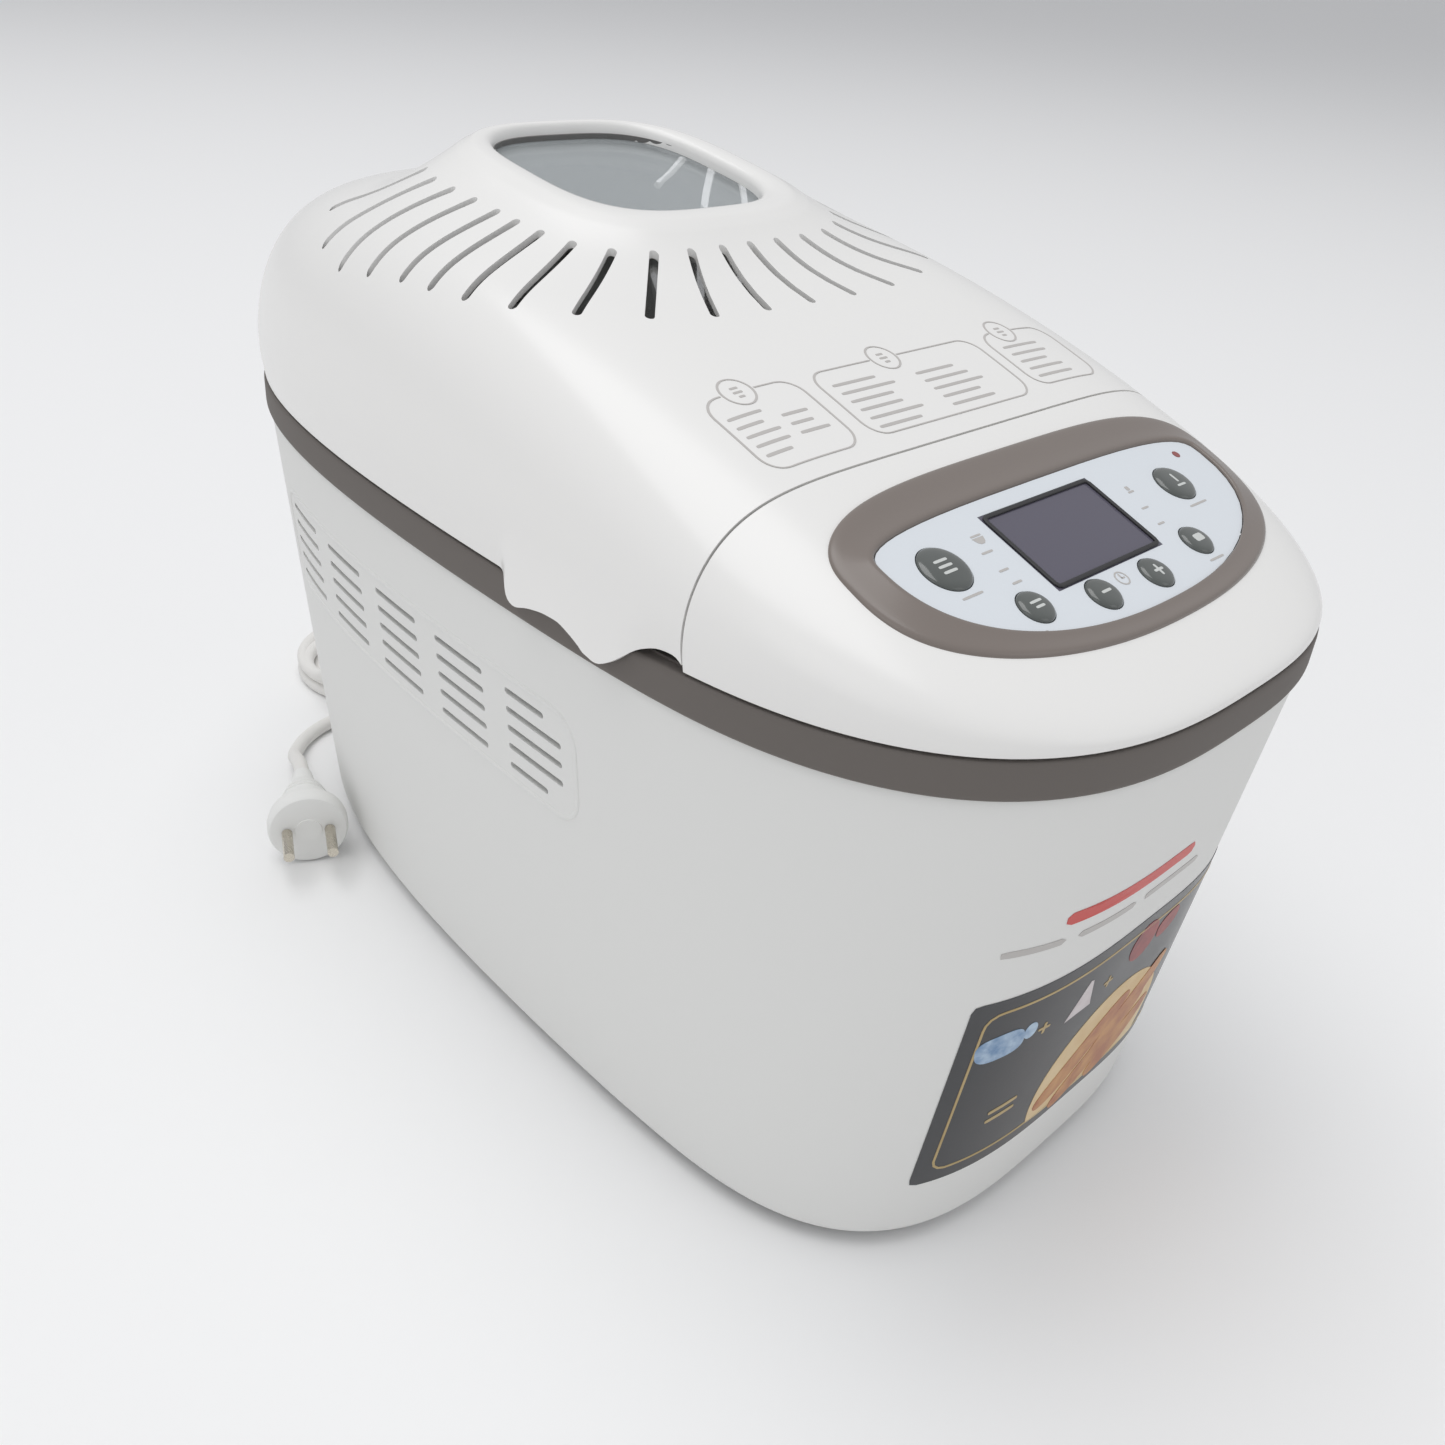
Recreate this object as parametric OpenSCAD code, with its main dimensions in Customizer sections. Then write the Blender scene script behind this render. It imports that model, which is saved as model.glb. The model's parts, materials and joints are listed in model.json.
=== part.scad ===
// Two-paddle bread machine: a long tapered casing with a slatted vent on each side, a control
// housing at the front, a hinged lid with a raised window, and the oven, pan and belt drive inside.
// Origin: centre of the footprint, on the floor. +Z is up, the controls face -Y.

/* [Casing] */
// Half width of the casing where it is widest, at the rim band
rim_half_w = 125; // [120:1:130]
// Distance from the widest section to the front tip
front_len = 141; // [136:1:144]
// Distance from the widest section to the rounded rear tip
rear_len = 315; // [310:1:320]
// Flat back of the casing, from the origin
back_y = 222; // [218:1:224]
// Half width of the foot of the casing
foot_half_w = 107; // [104:1:110]
// Height of the casing up to the rim band
casing_h = 200; // [196:1:204]
// Thickness of the moulded walls
wall = 3; // [2.4:0.2:3.4]

/* [Lid and controls] */
// Height of the rim band
band_h = 12.5; // [11:0.5:13]
// Plane across the casing where the lid meets the control housing
seam_y = -120; // [-122:1:-118]
// Height of the crown of the lid
crown_z = 304; // [300:1:306]
// Height of the middle of the window
window_z = 316; // [314:1:318]
// Tilt of the control panel
panel_tilt = 20.6; // [20:0.1:21]
// Travel of every push button
button_travel = 0.8; // [0.6:0.1:1]

/* [Oven and pan] */
// Width of the oven cavity inside
cavity_w = 170; // [168:1:172]
// Length of the oven cavity inside
cavity_l = 250; // [248:1:252]
// Distance between the two kneading shafts
shaft_gap = 110; // [108:2:112]
// Diameter of the drive shafts
shaft_d = 8; // [7:0.5:8]
// Height of the bread pan
pan_h = 128; // [124:1:130]
// Wall of the bread pan
pan_wall = 2; // [1.6:0.2:2.4]

/* [Drive] */
// Radius of the large belt pulley
wheel_r = 42; // [40:1:44]
// Radius of the motor pulley
pinion_r = 7; // [6:0.5:8]
// Radius of the two equal pulleys that link the shafts
link_r = 15; // [14:1:16]

/* [Mains lead] */
// Diameter of the lead
lead_d = 7; // [6.5:0.1:7]

/* [Hidden] */
$fn = 48;

yc = -87;                    // widest section of the casing
front_n = 2.75;              // squareness of the front of the rim
foot_front_n = 3.3;          // squareness of the front of the foot
foot_front_len = 116;        // front length at the foot
foot_rear_len = 295;         // rear length at the foot
foot_back_y = 206;           // flat back at the foot
foot_gap = 4;                // gap between the floor and the casing
quad = 15;                   // outline points in each quarter
gap = 1;                     // shadow gap between the band and the lid
lid_z = casing_h + band_h + gap;
shoulder_p = 7;              // squareness of the lid in plan
shoulder_q = 2.4;            // roundness of its shoulders
hinge_y = 226.8;
hinge_z = casing_h + band_h;
knuckle_r = 4.2;
pin_r = 2;
run_gap = 0.05;              // radial clearance of every running fit
seam_z = 260;                // height of the lid at the seam
crown_y = 80;                // place of the crown
back_drop = 14;              // fall from the crown to the back
hood_x = 56;                 // half width of the raised window collar
hood_y = 50;                 // half length of the collar
hood_c = 45;                 // centre of the collar
hood_n = 3.2;
hood_slope = 0.17;           // rise of the window to the rear
pane_x = 45;
pane_y = 42;
pane_c = 49;
panel_y = -170;              // reference point on the panel
panel_z = 241;
oven_y = 30;                 // centre of the oven
oven_floor = 48;
cavity_r = 33;               // corner radius of the cavity
oven_h = 148;
sheet = 1;                   // sheet metal thickness
shaft_y = [oven_y - shaft_gap / 2, oven_y + shaft_gap / 2];
pan_z = 73;
pan_top_w = 136;
pan_top_l = 218;
pan_foot_w = 124;
pan_foot_l = 206;
handle_z = 184;
motor_y = -152;

// --- Outline of the casing ---
function mix(a, b, k) = a + (b - a) * k;
function front_point(u, a, b, n) = [a * pow(cos(u), 2 / n), yc - b * pow(sin(u), 2 / n)];
function taper(t) = 1 - 0.19 * pow(t, 1.4);
function rear_point(u, a, b, flat) = let (t = pow(sin(u), 0.5))
    [a * taper(t) * pow(cos(u), 0.62), min(yc + b * t, flat)];
function mirrored(points) = [for (i = [len(points) - 2 : -1 : 1]) [-points[i][0], points[i][1]]];
function outline(a, bf, br, n, flat) = let (right = concat(
        [for (i = [0 : quad]) front_point(90 - 90 * i / quad, a, bf, n)],
        [for (i = [1 : quad]) rear_point(90 * pow(i / quad, 1.6), a, br, flat)]))
    concat(right, mirrored(right));
function rim_outline(inset) =
    outline(rim_half_w - inset, front_len - inset, rear_len - inset, front_n, back_y - inset);
function foot_outline(inset) = outline(foot_half_w - inset, foot_front_len - inset,
    foot_rear_len - inset, foot_front_n, foot_back_y - inset);
function casing_ring(z, inset) = let (k = pow(z / casing_h, 0.95), foot = foot_outline(inset),
    rim = rim_outline(inset + 1)) [for (i = [0 : len(rim) - 1]) concat(mix(foot[i], rim[i], k), z)];

// --- Top surface: height of the lid and the control housing over a point ---
function rear_half_w(t) = t >= 1 ? 0 : taper(t) * pow(1 - pow(t, 4), 0.31);
function rear_rho(x, y, lo, hi, steps) = let (mid = (lo + hi) / 2)
    steps == 0 ? mid : mid * rear_half_w(y / mid) < x ? rear_rho(x, y, mid, hi, steps - 1)
    : rear_rho(x, y, lo, mid, steps - 1);
function rho(x, y) = y <= yc
    ? pow(pow(abs(x) / (rim_half_w + 2), front_n) + pow((yc - y) / (front_len + 2), front_n), 1 / front_n)
    : rear_rho(abs(x) / (rim_half_w + 2), (y - yc) / (rear_len + 2),
        (y - yc) / (rear_len + 2), 2, 16);
function ridge(y) = y > crown_y ? crown_z - back_drop * pow((y - crown_y) / (228 - crown_y), 2.3)
    : y > seam_y ? crown_z - (crown_z - seam_z) * pow((crown_y - y) / (crown_y - seam_y), 1.7)
    : seam_z + tan(19.5) * (y - seam_y);
function shoulder(x, y) = let (r = rho(x, y))
    r >= 1 ? 0 : pow(1 - pow(r, shoulder_p), 1 / shoulder_q);
function collar_z(y) = window_z + hood_slope * (y - 64);
function collar_rho(x, y) = pow(pow(abs(x) / hood_x, hood_n) + pow(abs(y - hood_c) / hood_y, hood_n),
    1 / hood_n);
function flare(x, y) = let (r = collar_rho(x, y))
    r < 1 ? 1 : r > 1.7 ? 0 : pow(1 - (r - 1) / 0.7, 2.2);
function top_z(x, y) = let (plain = lid_z + (ridge(y) - lid_z) * shoulder(x, y))
    y < seam_y ? plain : plain + max(0, collar_z(y) - plain) * flare(x, y);
function collar_point(p, ax, ay, c, n) = let (a = atan2(p[1] - hood_c, p[0]),
    k = pow(pow(abs(cos(a)) / ax, n) + pow(abs(sin(a)) / ay, n), -1 / n))
    [k * cos(a), c + k * sin(a)];

// --- Helpers ---
// A closed band of rings, each joined to the next and the last to the first
module ring_solid(rings) {
    n = len(rings[0]);
    m = len(rings);
    polyhedron(
        points = [for (ring = rings) for (p = ring) p],
        faces = [for (j = [0 : m - 1]) for (i = [0 : n - 1])
            let (a = j * n + i, b = j * n + (i + 1) % n,
                 c = ((j + 1) % m) * n + (i + 1) % n, d = ((j + 1) % m) * n + i)
            each [[a, d, c], [a, c, b]]]);
}
// A stack of rings closed by a flat face at each end
module stack_solid(rings) {
    n = len(rings[0]);
    m = len(rings);
    polyhedron(
        points = [for (ring = rings) for (p = ring) p],
        faces = concat(
            [[for (i = [0 : n - 1]) i]],
            [[for (i = [n - 1 : -1 : 0]) (m - 1) * n + i]],
            [for (j = [0 : m - 2]) for (i = [0 : n - 1])
                let (a = j * n + i, b = j * n + (i + 1) % n,
                     c = (j + 1) * n + (i + 1) % n, d = (j + 1) * n + i)
                each [[a, d, c], [a, c, b]]]));
}
module rounded(w, l, h, r) {
    linear_extrude(h) rounded_flat(w, l, r);
}
module rounded_flat(w, l, r) {
    square([w - 2 * r, l], center = true);
    square([w, l - 2 * r], center = true);
    for (x = [-1, 1], y = [-1, 1]) translate([x * (w / 2 - r), y * (l / 2 - r)]) circle(r);
}
function oval(rx, ry, n, count = 36) = [for (i = [0 : count - 1]) let (a = i * 360 / count)
    [rx * sign(cos(a)) * pow(abs(cos(a)), 2 / n), ry * sign(sin(a)) * pow(abs(sin(a)), 2 / n)]];
// The panel outline: a straight back edge and a deep bowed front edge
function panel_outline(half_w, front, back, count = 48) = [for (i = [0 : count - 1])
    let (a = i * 360 / count, s = sin(a), n = s < 0 ? 2.3 : 3.4)
    [half_w * sign(cos(a)) * pow(abs(cos(a)), 2 / n),
     (s < 0 ? front : back) * sign(s) * pow(abs(s), 2 / n)]];
module on_panel() {
    translate([0, panel_y, panel_z]) rotate([panel_tilt, 0, 0]) children();
}
module tube_bend(r, d, angle) {
    rotate_extrude(angle = angle) translate([r, 0]) circle(d / 2);
}

// --- Domes: the outside and the inside of the lid and the control housing ---
// Rings run from the lower edge up over the shoulder, then shrink to the window collar
edge_steps = [1, 1.011, 0.998, 0.975, 0.94, 0.89, 0.83, 0.77];
collar_steps = [1.7, 1.45, 1.25, 1.1, 1, 0.9];
function rim_loop() = outline(rim_half_w, front_len, rear_len, front_n, back_y);
function loop_point(p, k) = [p[0] * k, min(back_y, hood_c + (p[1] - hood_c) * k)];
function dome_flat(loop, j) = [for (p = loop) j < len(edge_steps) ? loop_point(p, edge_steps[j])
    : let (i = j - len(edge_steps), last = loop_point(p, edge_steps[len(edge_steps) - 1]))
      i == 0 ? mix(last, collar_point(p, hood_x * 1.7, hood_y * 1.7, hood_c, hood_n), 0.33)
    : i == 1 ? mix(last, collar_point(p, hood_x * 1.7, hood_y * 1.7, hood_c, hood_n), 0.67)
    : collar_point(p, hood_x * collar_steps[i - 2], hood_y * collar_steps[i - 2], hood_c, hood_n)];
module dome(drop) {
    loop = rim_loop();
    kx = 1 - drop / rim_half_w;
    ky = 1 - drop / rear_len * 1.3;
    top = [for (j = [0 : len(edge_steps) + len(collar_steps) + 1]) [for (p = dome_flat(loop, j))
        [p[0] * kx, hood_c + (p[1] - hood_c) * ky,
         j == 0 ? lid_z - drop : max(lid_z + 0.2 - drop, top_z(p[0], p[1]) - drop)]]];
    stack_solid(top);
}
module ear(side) {
    // A scoop that flares out of the side of the lid and hangs over the band
    for (i = [0 : 4]) let (y = -101 + 13 * i) hull() for (k = [0, 1])
        let (yy = y + 13 * k, lift = 5 * pow(abs(yy + 70) / 34, 2)) {
            translate([side * 123.5, yy, 232 - lift]) sphere(1.6, $fn = 12);
            translate([side * 128.6, yy, 207 + lift * 1.6]) sphere(1.5, $fn = 12);
            translate([side * 125.5, yy, 221]) sphere(1.6, $fn = 12);
        }
}
module ahead_of_seam() { translate([-200, seam_y - 200, 190]) cube([400, 200, 200]); }
module behind_seam() { translate([-200, seam_y, 190]) cube([400, 400, 200]); }

module lid_shell() color("white") {
    difference() {
        dome(0);
        translate([0, 0, -0.01]) dome(wall);
        translate([0, gap, 0]) ahead_of_seam();
        translate([0, pane_c, 290]) linear_extrude(50) polygon(oval(pane_x, pane_y, 3.2));
    }
    ear(1);
    ear(-1);
}
module lid_liner() color("silver") difference() {
    union() {
        hull() {
            translate([0, oven_y, 217]) rounded(cavity_w + 6, cavity_l - 2, 1, 34, $fn = 32);
            translate([0, oven_y, 255]) rounded(cavity_w - 8, cavity_l - 6, 1, 30, $fn = 32);
            translate([0, oven_y, 266]) rounded(cavity_w - 30, cavity_l - 24, 1, 22, $fn = 32);
        }
        translate([0, oven_y, 215.5]) rounded(cavity_w + 14, cavity_l + 6, 1.5, 38);
    }
    hull() {
        translate([0, oven_y, 215]) rounded(cavity_w + 4, cavity_l - 4, 3, 33, $fn = 32);
        translate([0, oven_y, 255]) rounded(cavity_w - 10, cavity_l - 8, 1, 29, $fn = 32);
        translate([0, oven_y, 265]) rounded(cavity_w - 32, cavity_l - 26, 1, 21, $fn = 32);
    }
    translate([0, hood_c, 260]) linear_extrude(20) polygon(oval(pane_x, pane_y, 3.2));
}
module window_inner_pane() color("lightcyan")
    translate([0, hood_c, 267.1]) linear_extrude(2) polygon(oval(pane_x + 6, pane_y + 6, 3.2));
module on_window(z) {
    translate([0, pane_c, collar_z(pane_c) + z]) rotate([atan(hood_slope), 0, 0]) children();
}
module window_pane() color("lightblue")
    on_window(-8.6) linear_extrude(2.5) polygon(oval(pane_x + 4.5, pane_y + 4.5, 3.2));
module window_seal() color("dimgray") on_window(-6) linear_extrude(1.9) difference() {
    polygon(oval(pane_x + 4.5, pane_y + 4.5, 3.2));
    polygon(oval(pane_x + 0.5, pane_y + 0.5, 3.2));
}

// --- Hinge ---
module knuckle(w) {
    rotate([0, 90, 0]) cylinder(r = knuckle_r, h = w, center = true);
}
module lid_hinge_lugs() color("white") for (x = [-30, 30]) translate([x, 0, 0]) difference() {
    union() {
        translate([0, hinge_y, hinge_z]) knuckle(12);
        translate([-6, back_y + 0.05, hinge_z + 1.2]) cube([12, hinge_y - back_y - 0.05 + 3, 14]);
        translate([-6, hinge_y - 1, hinge_z]) cube([12, 4, 3]);
    }
    translate([0, hinge_y, hinge_z]) rotate([0, 90, 0])
        cylinder(r = pin_r + run_gap, h = 20, center = true);
}
module hinge_brackets() color("dimgray") for (x = [-30, 30], s = [-9.4, 9.4])
    translate([x + s, 0, 0]) difference() {
        union() {
            translate([0, hinge_y, hinge_z]) knuckle(6);
            translate([-3, back_y + 0.7, hinge_z - 11]) cube([6, hinge_y - back_y + 2.3, 11]);
        }
        translate([0, hinge_y, hinge_z]) rotate([0, 90, 0])
            cylinder(r = pin_r + run_gap, h = 20, center = true);
    }
module hinge_pin() color("silver") translate([0, hinge_y, hinge_z]) rotate([0, 90, 0])
    cylinder(r = pin_r, h = 88, center = true);

// --- Casing ---
vent_rows = [136, 144, 151.5, 159, 166.5];
function vent_x(y, z) = let (k = pow(z / casing_h, 0.95), t = (y - yc) / rear_len)
    mix(foot_half_w, rim_half_w - 1, k) * rear_half_w(t);
module vents(side) {
    for (column = [0 : 4], z = vent_rows) let (edge = z == vent_rows[0] || z == vent_rows[4],
        far = column == 0 && edge, y = -63 + 45 * column + (far ? 9 : 0), l = far ? 22 : 31)
        translate([side * vent_x(y + 15, z), y, z]) rotate([0, 90, 0]) hull() {
            translate([0, 1.2, -12]) cylinder(r = 1.2, h = 24, $fn = 12);
            translate([0, l - 1.2, -12]) cylinder(r = 1.2, h = 24, $fn = 12);
        }
}
casing_levels = [foot_gap, foot_gap + 3, foot_gap + 8, 30, 70, 115, 160, casing_h];
function foot_round(z) = z < 12 ? 9 * (1 - sqrt(1 - pow((12 - z) / 8.2, 2) * 0.94)) : 0;
module casing() color("whitesmoke") difference() {
    ring_solid(concat(
        [for (z = casing_levels) casing_ring(z, foot_round(z))],
        [for (j = [len(casing_levels) - 1 : -1 : 0]) let (z = casing_levels[j])
            casing_ring(z, foot_round(z) + wall)]));
    vents(1);
    vents(-1);
}
module rim_band() color("#6a625f") {
    outer = rim_outline(0);
    lip = rim_outline(3.4);
    inner = rim_outline(5.4);
    face = rim_outline(-0.6);
    chamfer = rim_outline(0.6);
    ring_solid([
        [for (p = chamfer) concat(p, casing_h + 0.05)],
        [for (p = face) concat(p, casing_h + 1.2)],
        [for (p = face) concat(p, casing_h + band_h - 1.4)],
        [for (p = outer) concat(p, casing_h + band_h)],
        [for (p = lip) concat(p, casing_h + band_h)],
        [for (p = lip) concat(p, lid_z - 0.15)],
        [for (p = inner) concat(p, lid_z - 0.15)],
        [for (p = inner) concat(p, casing_h + 0.05)]]);
}
module oven_deck() color("dimgray") translate([0, 0, casing_h - 2.6]) linear_extrude(2.5)
    difference() {
        polygon(rim_outline(wall + 3));
        translate([0, oven_y]) rounded_flat(cavity_w - 1, cavity_l - 1, cavity_r - 0.5);
        translate([0, -160]) circle(12);
    }
module base_plate() color("gray") translate([0, 0, foot_gap + 0.6]) difference() {
    linear_extrude(2) difference() {
        polygon(foot_outline(13));
        for (i = [-4 : 4], y = [120, 135, 150]) translate([i * 9, y]) square([3, 10], center = true);
    }
    for (x = [-1, 1], y = [-150, 150]) translate([x * 55, y, -1]) cylinder(r = 2.3, h = 4);
}
module feet() color("#303030") for (x = [-1, 1], y = [-150, 150]) translate([x * 55, y, 0])
    rotate_extrude() polygon([[0, 0], [9, 0], [10, 1], [10, foot_gap + 0.5], [0, foot_gap + 0.5]]);
module base_screws() color("silver") for (x = [-1, 1], y = [-150, 150])
    translate([x * 55, y, foot_gap + 0.55]) {
        cylinder(r = 2, h = 8);
        translate([0, 0, 2.1]) cylinder(r = 4, h = 2);
    }

// --- Control housing ---
panel_mid = 15;              // centre of the panel outline, up the slope
fascia_w = 86;
fascia_front = 44;
fascia_back = 12.8;
bezel_w = 97.5;
bezel_front = 51.3;
bezel_back = 27.7;
keys = [[-66, 9.6, 8.6], [-50, -12.8, 6.1], [-22, -18.2, 6.1], [6, -19.2, 6.1], [37, -15, 6.1],
    [57, 7.5, 7.8]];
display_at = [-7.3, 5.3];
display_size = [55.5, 31];
module panel_shape(half_w, front, back) {
    translate([0, panel_mid]) polygon(panel_outline(half_w, front, back));
}
module control_housing() color("white") difference() {
    union() {
        difference() {
            dome(0);
            translate([0, 0, -0.01]) dome(wall);
            behind_seam();
        }
        for (a = [-4 : 4]) hull() for (z = [0, 12])
            translate([a * 17, -219.5 + 0.55 * a * a, lid_z + 1 + z * 0.3])
                cylinder(r = 1.5, h = 2, $fn = 12);
    }
    on_panel() translate([0, 0, -30]) linear_extrude(60)
        panel_shape(bezel_w - 6, bezel_front - 6, bezel_back - 6);
}
module housing_back_plate() color("lightgray") translate([0, seam_y - 1.4, 0]) rotate([90, 0, 0])
    linear_extrude(2) polygon(concat([[-112, lid_z], [112, lid_z]],
        [for (i = [0 : 16]) let (x = 112 * cos(11.25 * i)) [x, top_z(x * 1.04, seam_y - 2) - wall - 2.5]]));
// A point of the panel outline on the swelling top of the housing
function on_top(p, lift) = let (y = panel_y + p[1] * cos(panel_tilt))
    [p[0], y, top_z(p[0], y) + lift];
function on_plane(p, lift) = [p[0], panel_y + p[1] * cos(panel_tilt) - lift * sin(panel_tilt),
    panel_z + p[1] * sin(panel_tilt) + lift * cos(panel_tilt)];
function panel_loop(half_w, front, back) = [for (p = panel_outline(half_w, front, back, 64))
    [p[0], p[1] + panel_mid]];
module panel_bezel() color("#7c7068") ring_solid([
    [for (p = panel_loop(bezel_w, bezel_front, bezel_back)) on_top(p, 0.15)],
    [for (p = panel_loop(bezel_w - 1.4, bezel_front - 1.4, bezel_back - 1.4)) on_top(p, 1.3)],
    [for (p = panel_loop(fascia_w + 2, fascia_front + 2, fascia_back + 2)) on_plane(p, 1)],
    [for (p = panel_loop(fascia_w + 0.3, fascia_front + 0.3, fascia_back + 0.3)) on_plane(p, 0)],
    [for (p = panel_loop(fascia_w + 0.3, fascia_front + 0.3, fascia_back + 0.3)) on_plane(p, -2)],
    [for (p = panel_loop(bezel_w - 7, bezel_front - 7, bezel_back - 7)) on_plane(p, -2)],
    [for (p = panel_loop(bezel_w - 6.6, bezel_front - 6.6, bezel_back - 6.6)) on_top(p, 0.1)]]);
module panel_fascia() color("aliceblue") on_panel() translate([0, 0, -2]) difference() {
    linear_extrude(2) panel_shape(fascia_w, fascia_front, fascia_back);
    for (key = keys) translate([key[0], key[1], -1]) cylinder(r = key[2] + 0.3, h = 4);
    translate([display_at[0], display_at[1], 1])
        cube([display_size[0] + 2.4, display_size[1] + 2.4, 4], center = true);
    translate([74, 18, -1]) cylinder(r = 1.6, h = 4);
}
module display_window() color("#5f5c69") on_panel() translate([display_at[0], display_at[1], -0.95])
    cube([display_size[0] + 2.2, display_size[1] + 2.2, 1.7], center = true);
module display_module() color("dimgray") on_panel() translate([display_at[0], display_at[1], -7.4])
    cube([60, 34, 3.8], center = true);
module control_board() on_panel() {
    color("darkgreen") translate([-4, 2, -13.4]) rounded(150, 50, 1.6, 4);
    color("#202020") for (key = keys)
        translate([key[0], key[1], -10.7]) cube([6, 6, 2.1], center = true);
}
module indicator_light() color("red") on_panel() translate([74, 18, -2.5]) {
    cylinder(r = 1.5, h = 2.6);
    translate([0, 0, -4]) cylinder(r = 2.4, h = 3.5);
}
module key_cap(key) color("#626a66") on_panel() translate([key[0], key[1], 0]) {
    rotate_extrude() polygon([[0, -4.2], [key[2] + 1.2, -4.2], [key[2] + 1.2, -2.5], [key[2], -2.5],
        [key[2], 0.7], [key[2] - 0.5, 1.2], [0, 1.2]]);
    translate([0, 0, button_travel - 9.4]) cylinder(r = 1.8, h = 5.3 - button_travel);
}
module menu_button() key_cap(keys[0]);
module weight_button() key_cap(keys[1]);
module minus_button() key_cap(keys[2]);
module plus_button() key_cap(keys[3]);
module colour_button() key_cap(keys[4]);
module start_button() key_cap(keys[5]);

// --- Oven ---
module oven_cavity() color("silver") difference() {
    translate([0, oven_y, oven_floor]) union() {
        rounded(cavity_w + 2 * sheet, cavity_l + 2 * sheet, oven_h, cavity_r + sheet);
        translate([0, 0, oven_h]) rounded(cavity_w + 14, cavity_l + 14, sheet, cavity_r + 7);
    }
    translate([0, oven_y, oven_floor + sheet]) rounded(cavity_w, cavity_l, oven_h + 2, cavity_r);
    for (y = shaft_y) translate([0, y, oven_floor - 1]) cylinder(r = 14.3, h = 4);
    for (x = [-12, 12]) translate([x, oven_y - cavity_l / 2 + 3, 62]) rotate([90, 0, 0])
        cylinder(r = 3.7, h = 8);
    translate([-cavity_w / 2 + 3, 60, 110]) rotate([0, -90, 0]) cylinder(r = 3.3, h = 8);
}
module oven_posts() color("gray") for (x = [-1, 1], y = [-1, 1])
    translate([x * 72, oven_y + y * 100, foot_gap + 2.7])
        cylinder(r = 5, h = oven_floor - foot_gap - 2.8);
element_w = 146;
element_l = 226;
element_r = 25;
element_d = 6.6;
module element_side(from, to) {
    v = to - from;
    translate(from) rotate([0, 0, atan2(v[1], v[0])]) rotate([0, 90, 0])
        cylinder(d = element_d, h = norm(v));
}
module heating_element() color("#50484a") translate([0, oven_y, 62]) {
    w = element_w / 2;
    l = element_l / 2;
    for (m = [0, 1]) mirror([m, 0, 0]) {
        element_side([w, -l + element_r, 0], [w, l - element_r, 0]);
        translate([w - element_r, l - element_r, 0]) tube_bend(element_r, element_d, 90);
        translate([w - element_r, -l + element_r, 0]) rotate([0, 0, -90])
            tube_bend(element_r, element_d, 90);
        element_side([20, -l, 0], [w - element_r, -l, 0]);
        translate([20, -l - 8, 0]) rotate([0, 0, 90]) tube_bend(8, element_d, 90);
        element_side([12, -l - 8, 0], [12, -l - 26, 0]);
    }
    element_side([-w + element_r, l, 0], [w - element_r, l, 0]);
}
module element_clips() color("silver") for (x = [-1, 1], y = [-45, 45])
    translate([x * element_w / 2, oven_y + y, oven_floor + sheet + 0.05]) difference() {
        translate([-5, -4, 0]) cube([10, 8, 18]);
        translate([0, 10, 12.95]) rotate([90, 0, 0]) cylinder(r = element_d / 2 + 0.05, h = 20);
    }
module oven_sensors() color("silver") {
    translate([-cavity_w / 2 - 14, 60, 110]) rotate([0, 90, 0]) cylinder(r = 3, h = 24);
    translate([cavity_w / 2 + sheet + 0.1, 60, 84]) cube([8, 16, 12]);
}
module pan_clips() color("silver") for (x = [-1, 1]) translate([x * 65, oven_y, 0]) {
    translate([-0.6, -12, oven_floor + sheet + 0.05]) cube([1.2, 24, 34]);
    translate([-3, -12, oven_floor + sheet + 0.05]) cube([6, 24, 1.2]);
}

// --- Drive ---
module shaft_bearings() color("gray") for (y = shaft_y) translate([0, y, 34]) difference() {
    union() {
        cylinder(r = 14, h = 21.5);
        translate([0, 0, 11]) cylinder(r = 22, h = 2.9);
    }
    translate([0, 0, -1]) cylinder(r = shaft_d / 2 + run_gap, h = 30);
}
// Two lugs on a disc; the discs of the oven and the pan interleave
module dog(y, disc_z, lug_z, turn) color("gray") translate([0, y, 0]) difference() {
    union() {
        translate([0, 0, disc_z]) cylinder(r = 10, h = 4);
        for (a = [0, 180]) rotate([0, 0, a + turn]) translate([5, -2.5, lug_z]) cube([4.2, 5, 4.5]);
    }
    translate([0, 0, disc_z - 10]) cylinder(r = shaft_d / 2 + run_gap, h = 30);
}
module drive_shaft(y, low) {
    color("silver") translate([0, y, low]) cylinder(d = shaft_d, h = 61 - low);
    dog(y, 56.5, 60, 0);
}
module front_drive_shaft() drive_shaft(shaft_y[0], 11);
module rear_drive_shaft() drive_shaft(shaft_y[1], 24);
module pulley(r, h, bore) {
    difference() {
        rotate_extrude() polygon([[0, 0], [r + 3, 0], [r + 3, 1.2], [r, 1.6], [r, h - 1.6],
            [r + 3, h - 1.2], [r + 3, h], [0, h]]);
        translate([0, 0, -1]) cylinder(r = bore + run_gap, h = h + 2);
    }
}
module drive_wheel() color("ivory") translate([0, shaft_y[0], 13]) difference() {
    pulley(wheel_r, 12, shaft_d / 2);
    for (a = [0 : 60 : 300]) rotate([0, 0, a]) translate([wheel_r * 0.6, 0, -1])
        cylinder(r = 8, h = 14);
}
module front_link_pulley() color("ivory") translate([0, shaft_y[0], 25.4])
    pulley(link_r, 7.6, shaft_d / 2);
module rear_link_pulley() color("ivory") translate([0, shaft_y[1], 25.4])
    pulley(link_r, 7.6, shaft_d / 2);
module belt(a, ra, b, rb, z, h) color("black") translate([0, 0, z]) linear_extrude(h) difference() {
    hull() {
        translate([0, a]) circle(ra + 2);
        translate([0, b]) circle(rb + 2);
    }
    hull() {
        translate([0, a]) circle(ra + 0.4);
        translate([0, b]) circle(rb + 0.4);
    }
}
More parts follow.
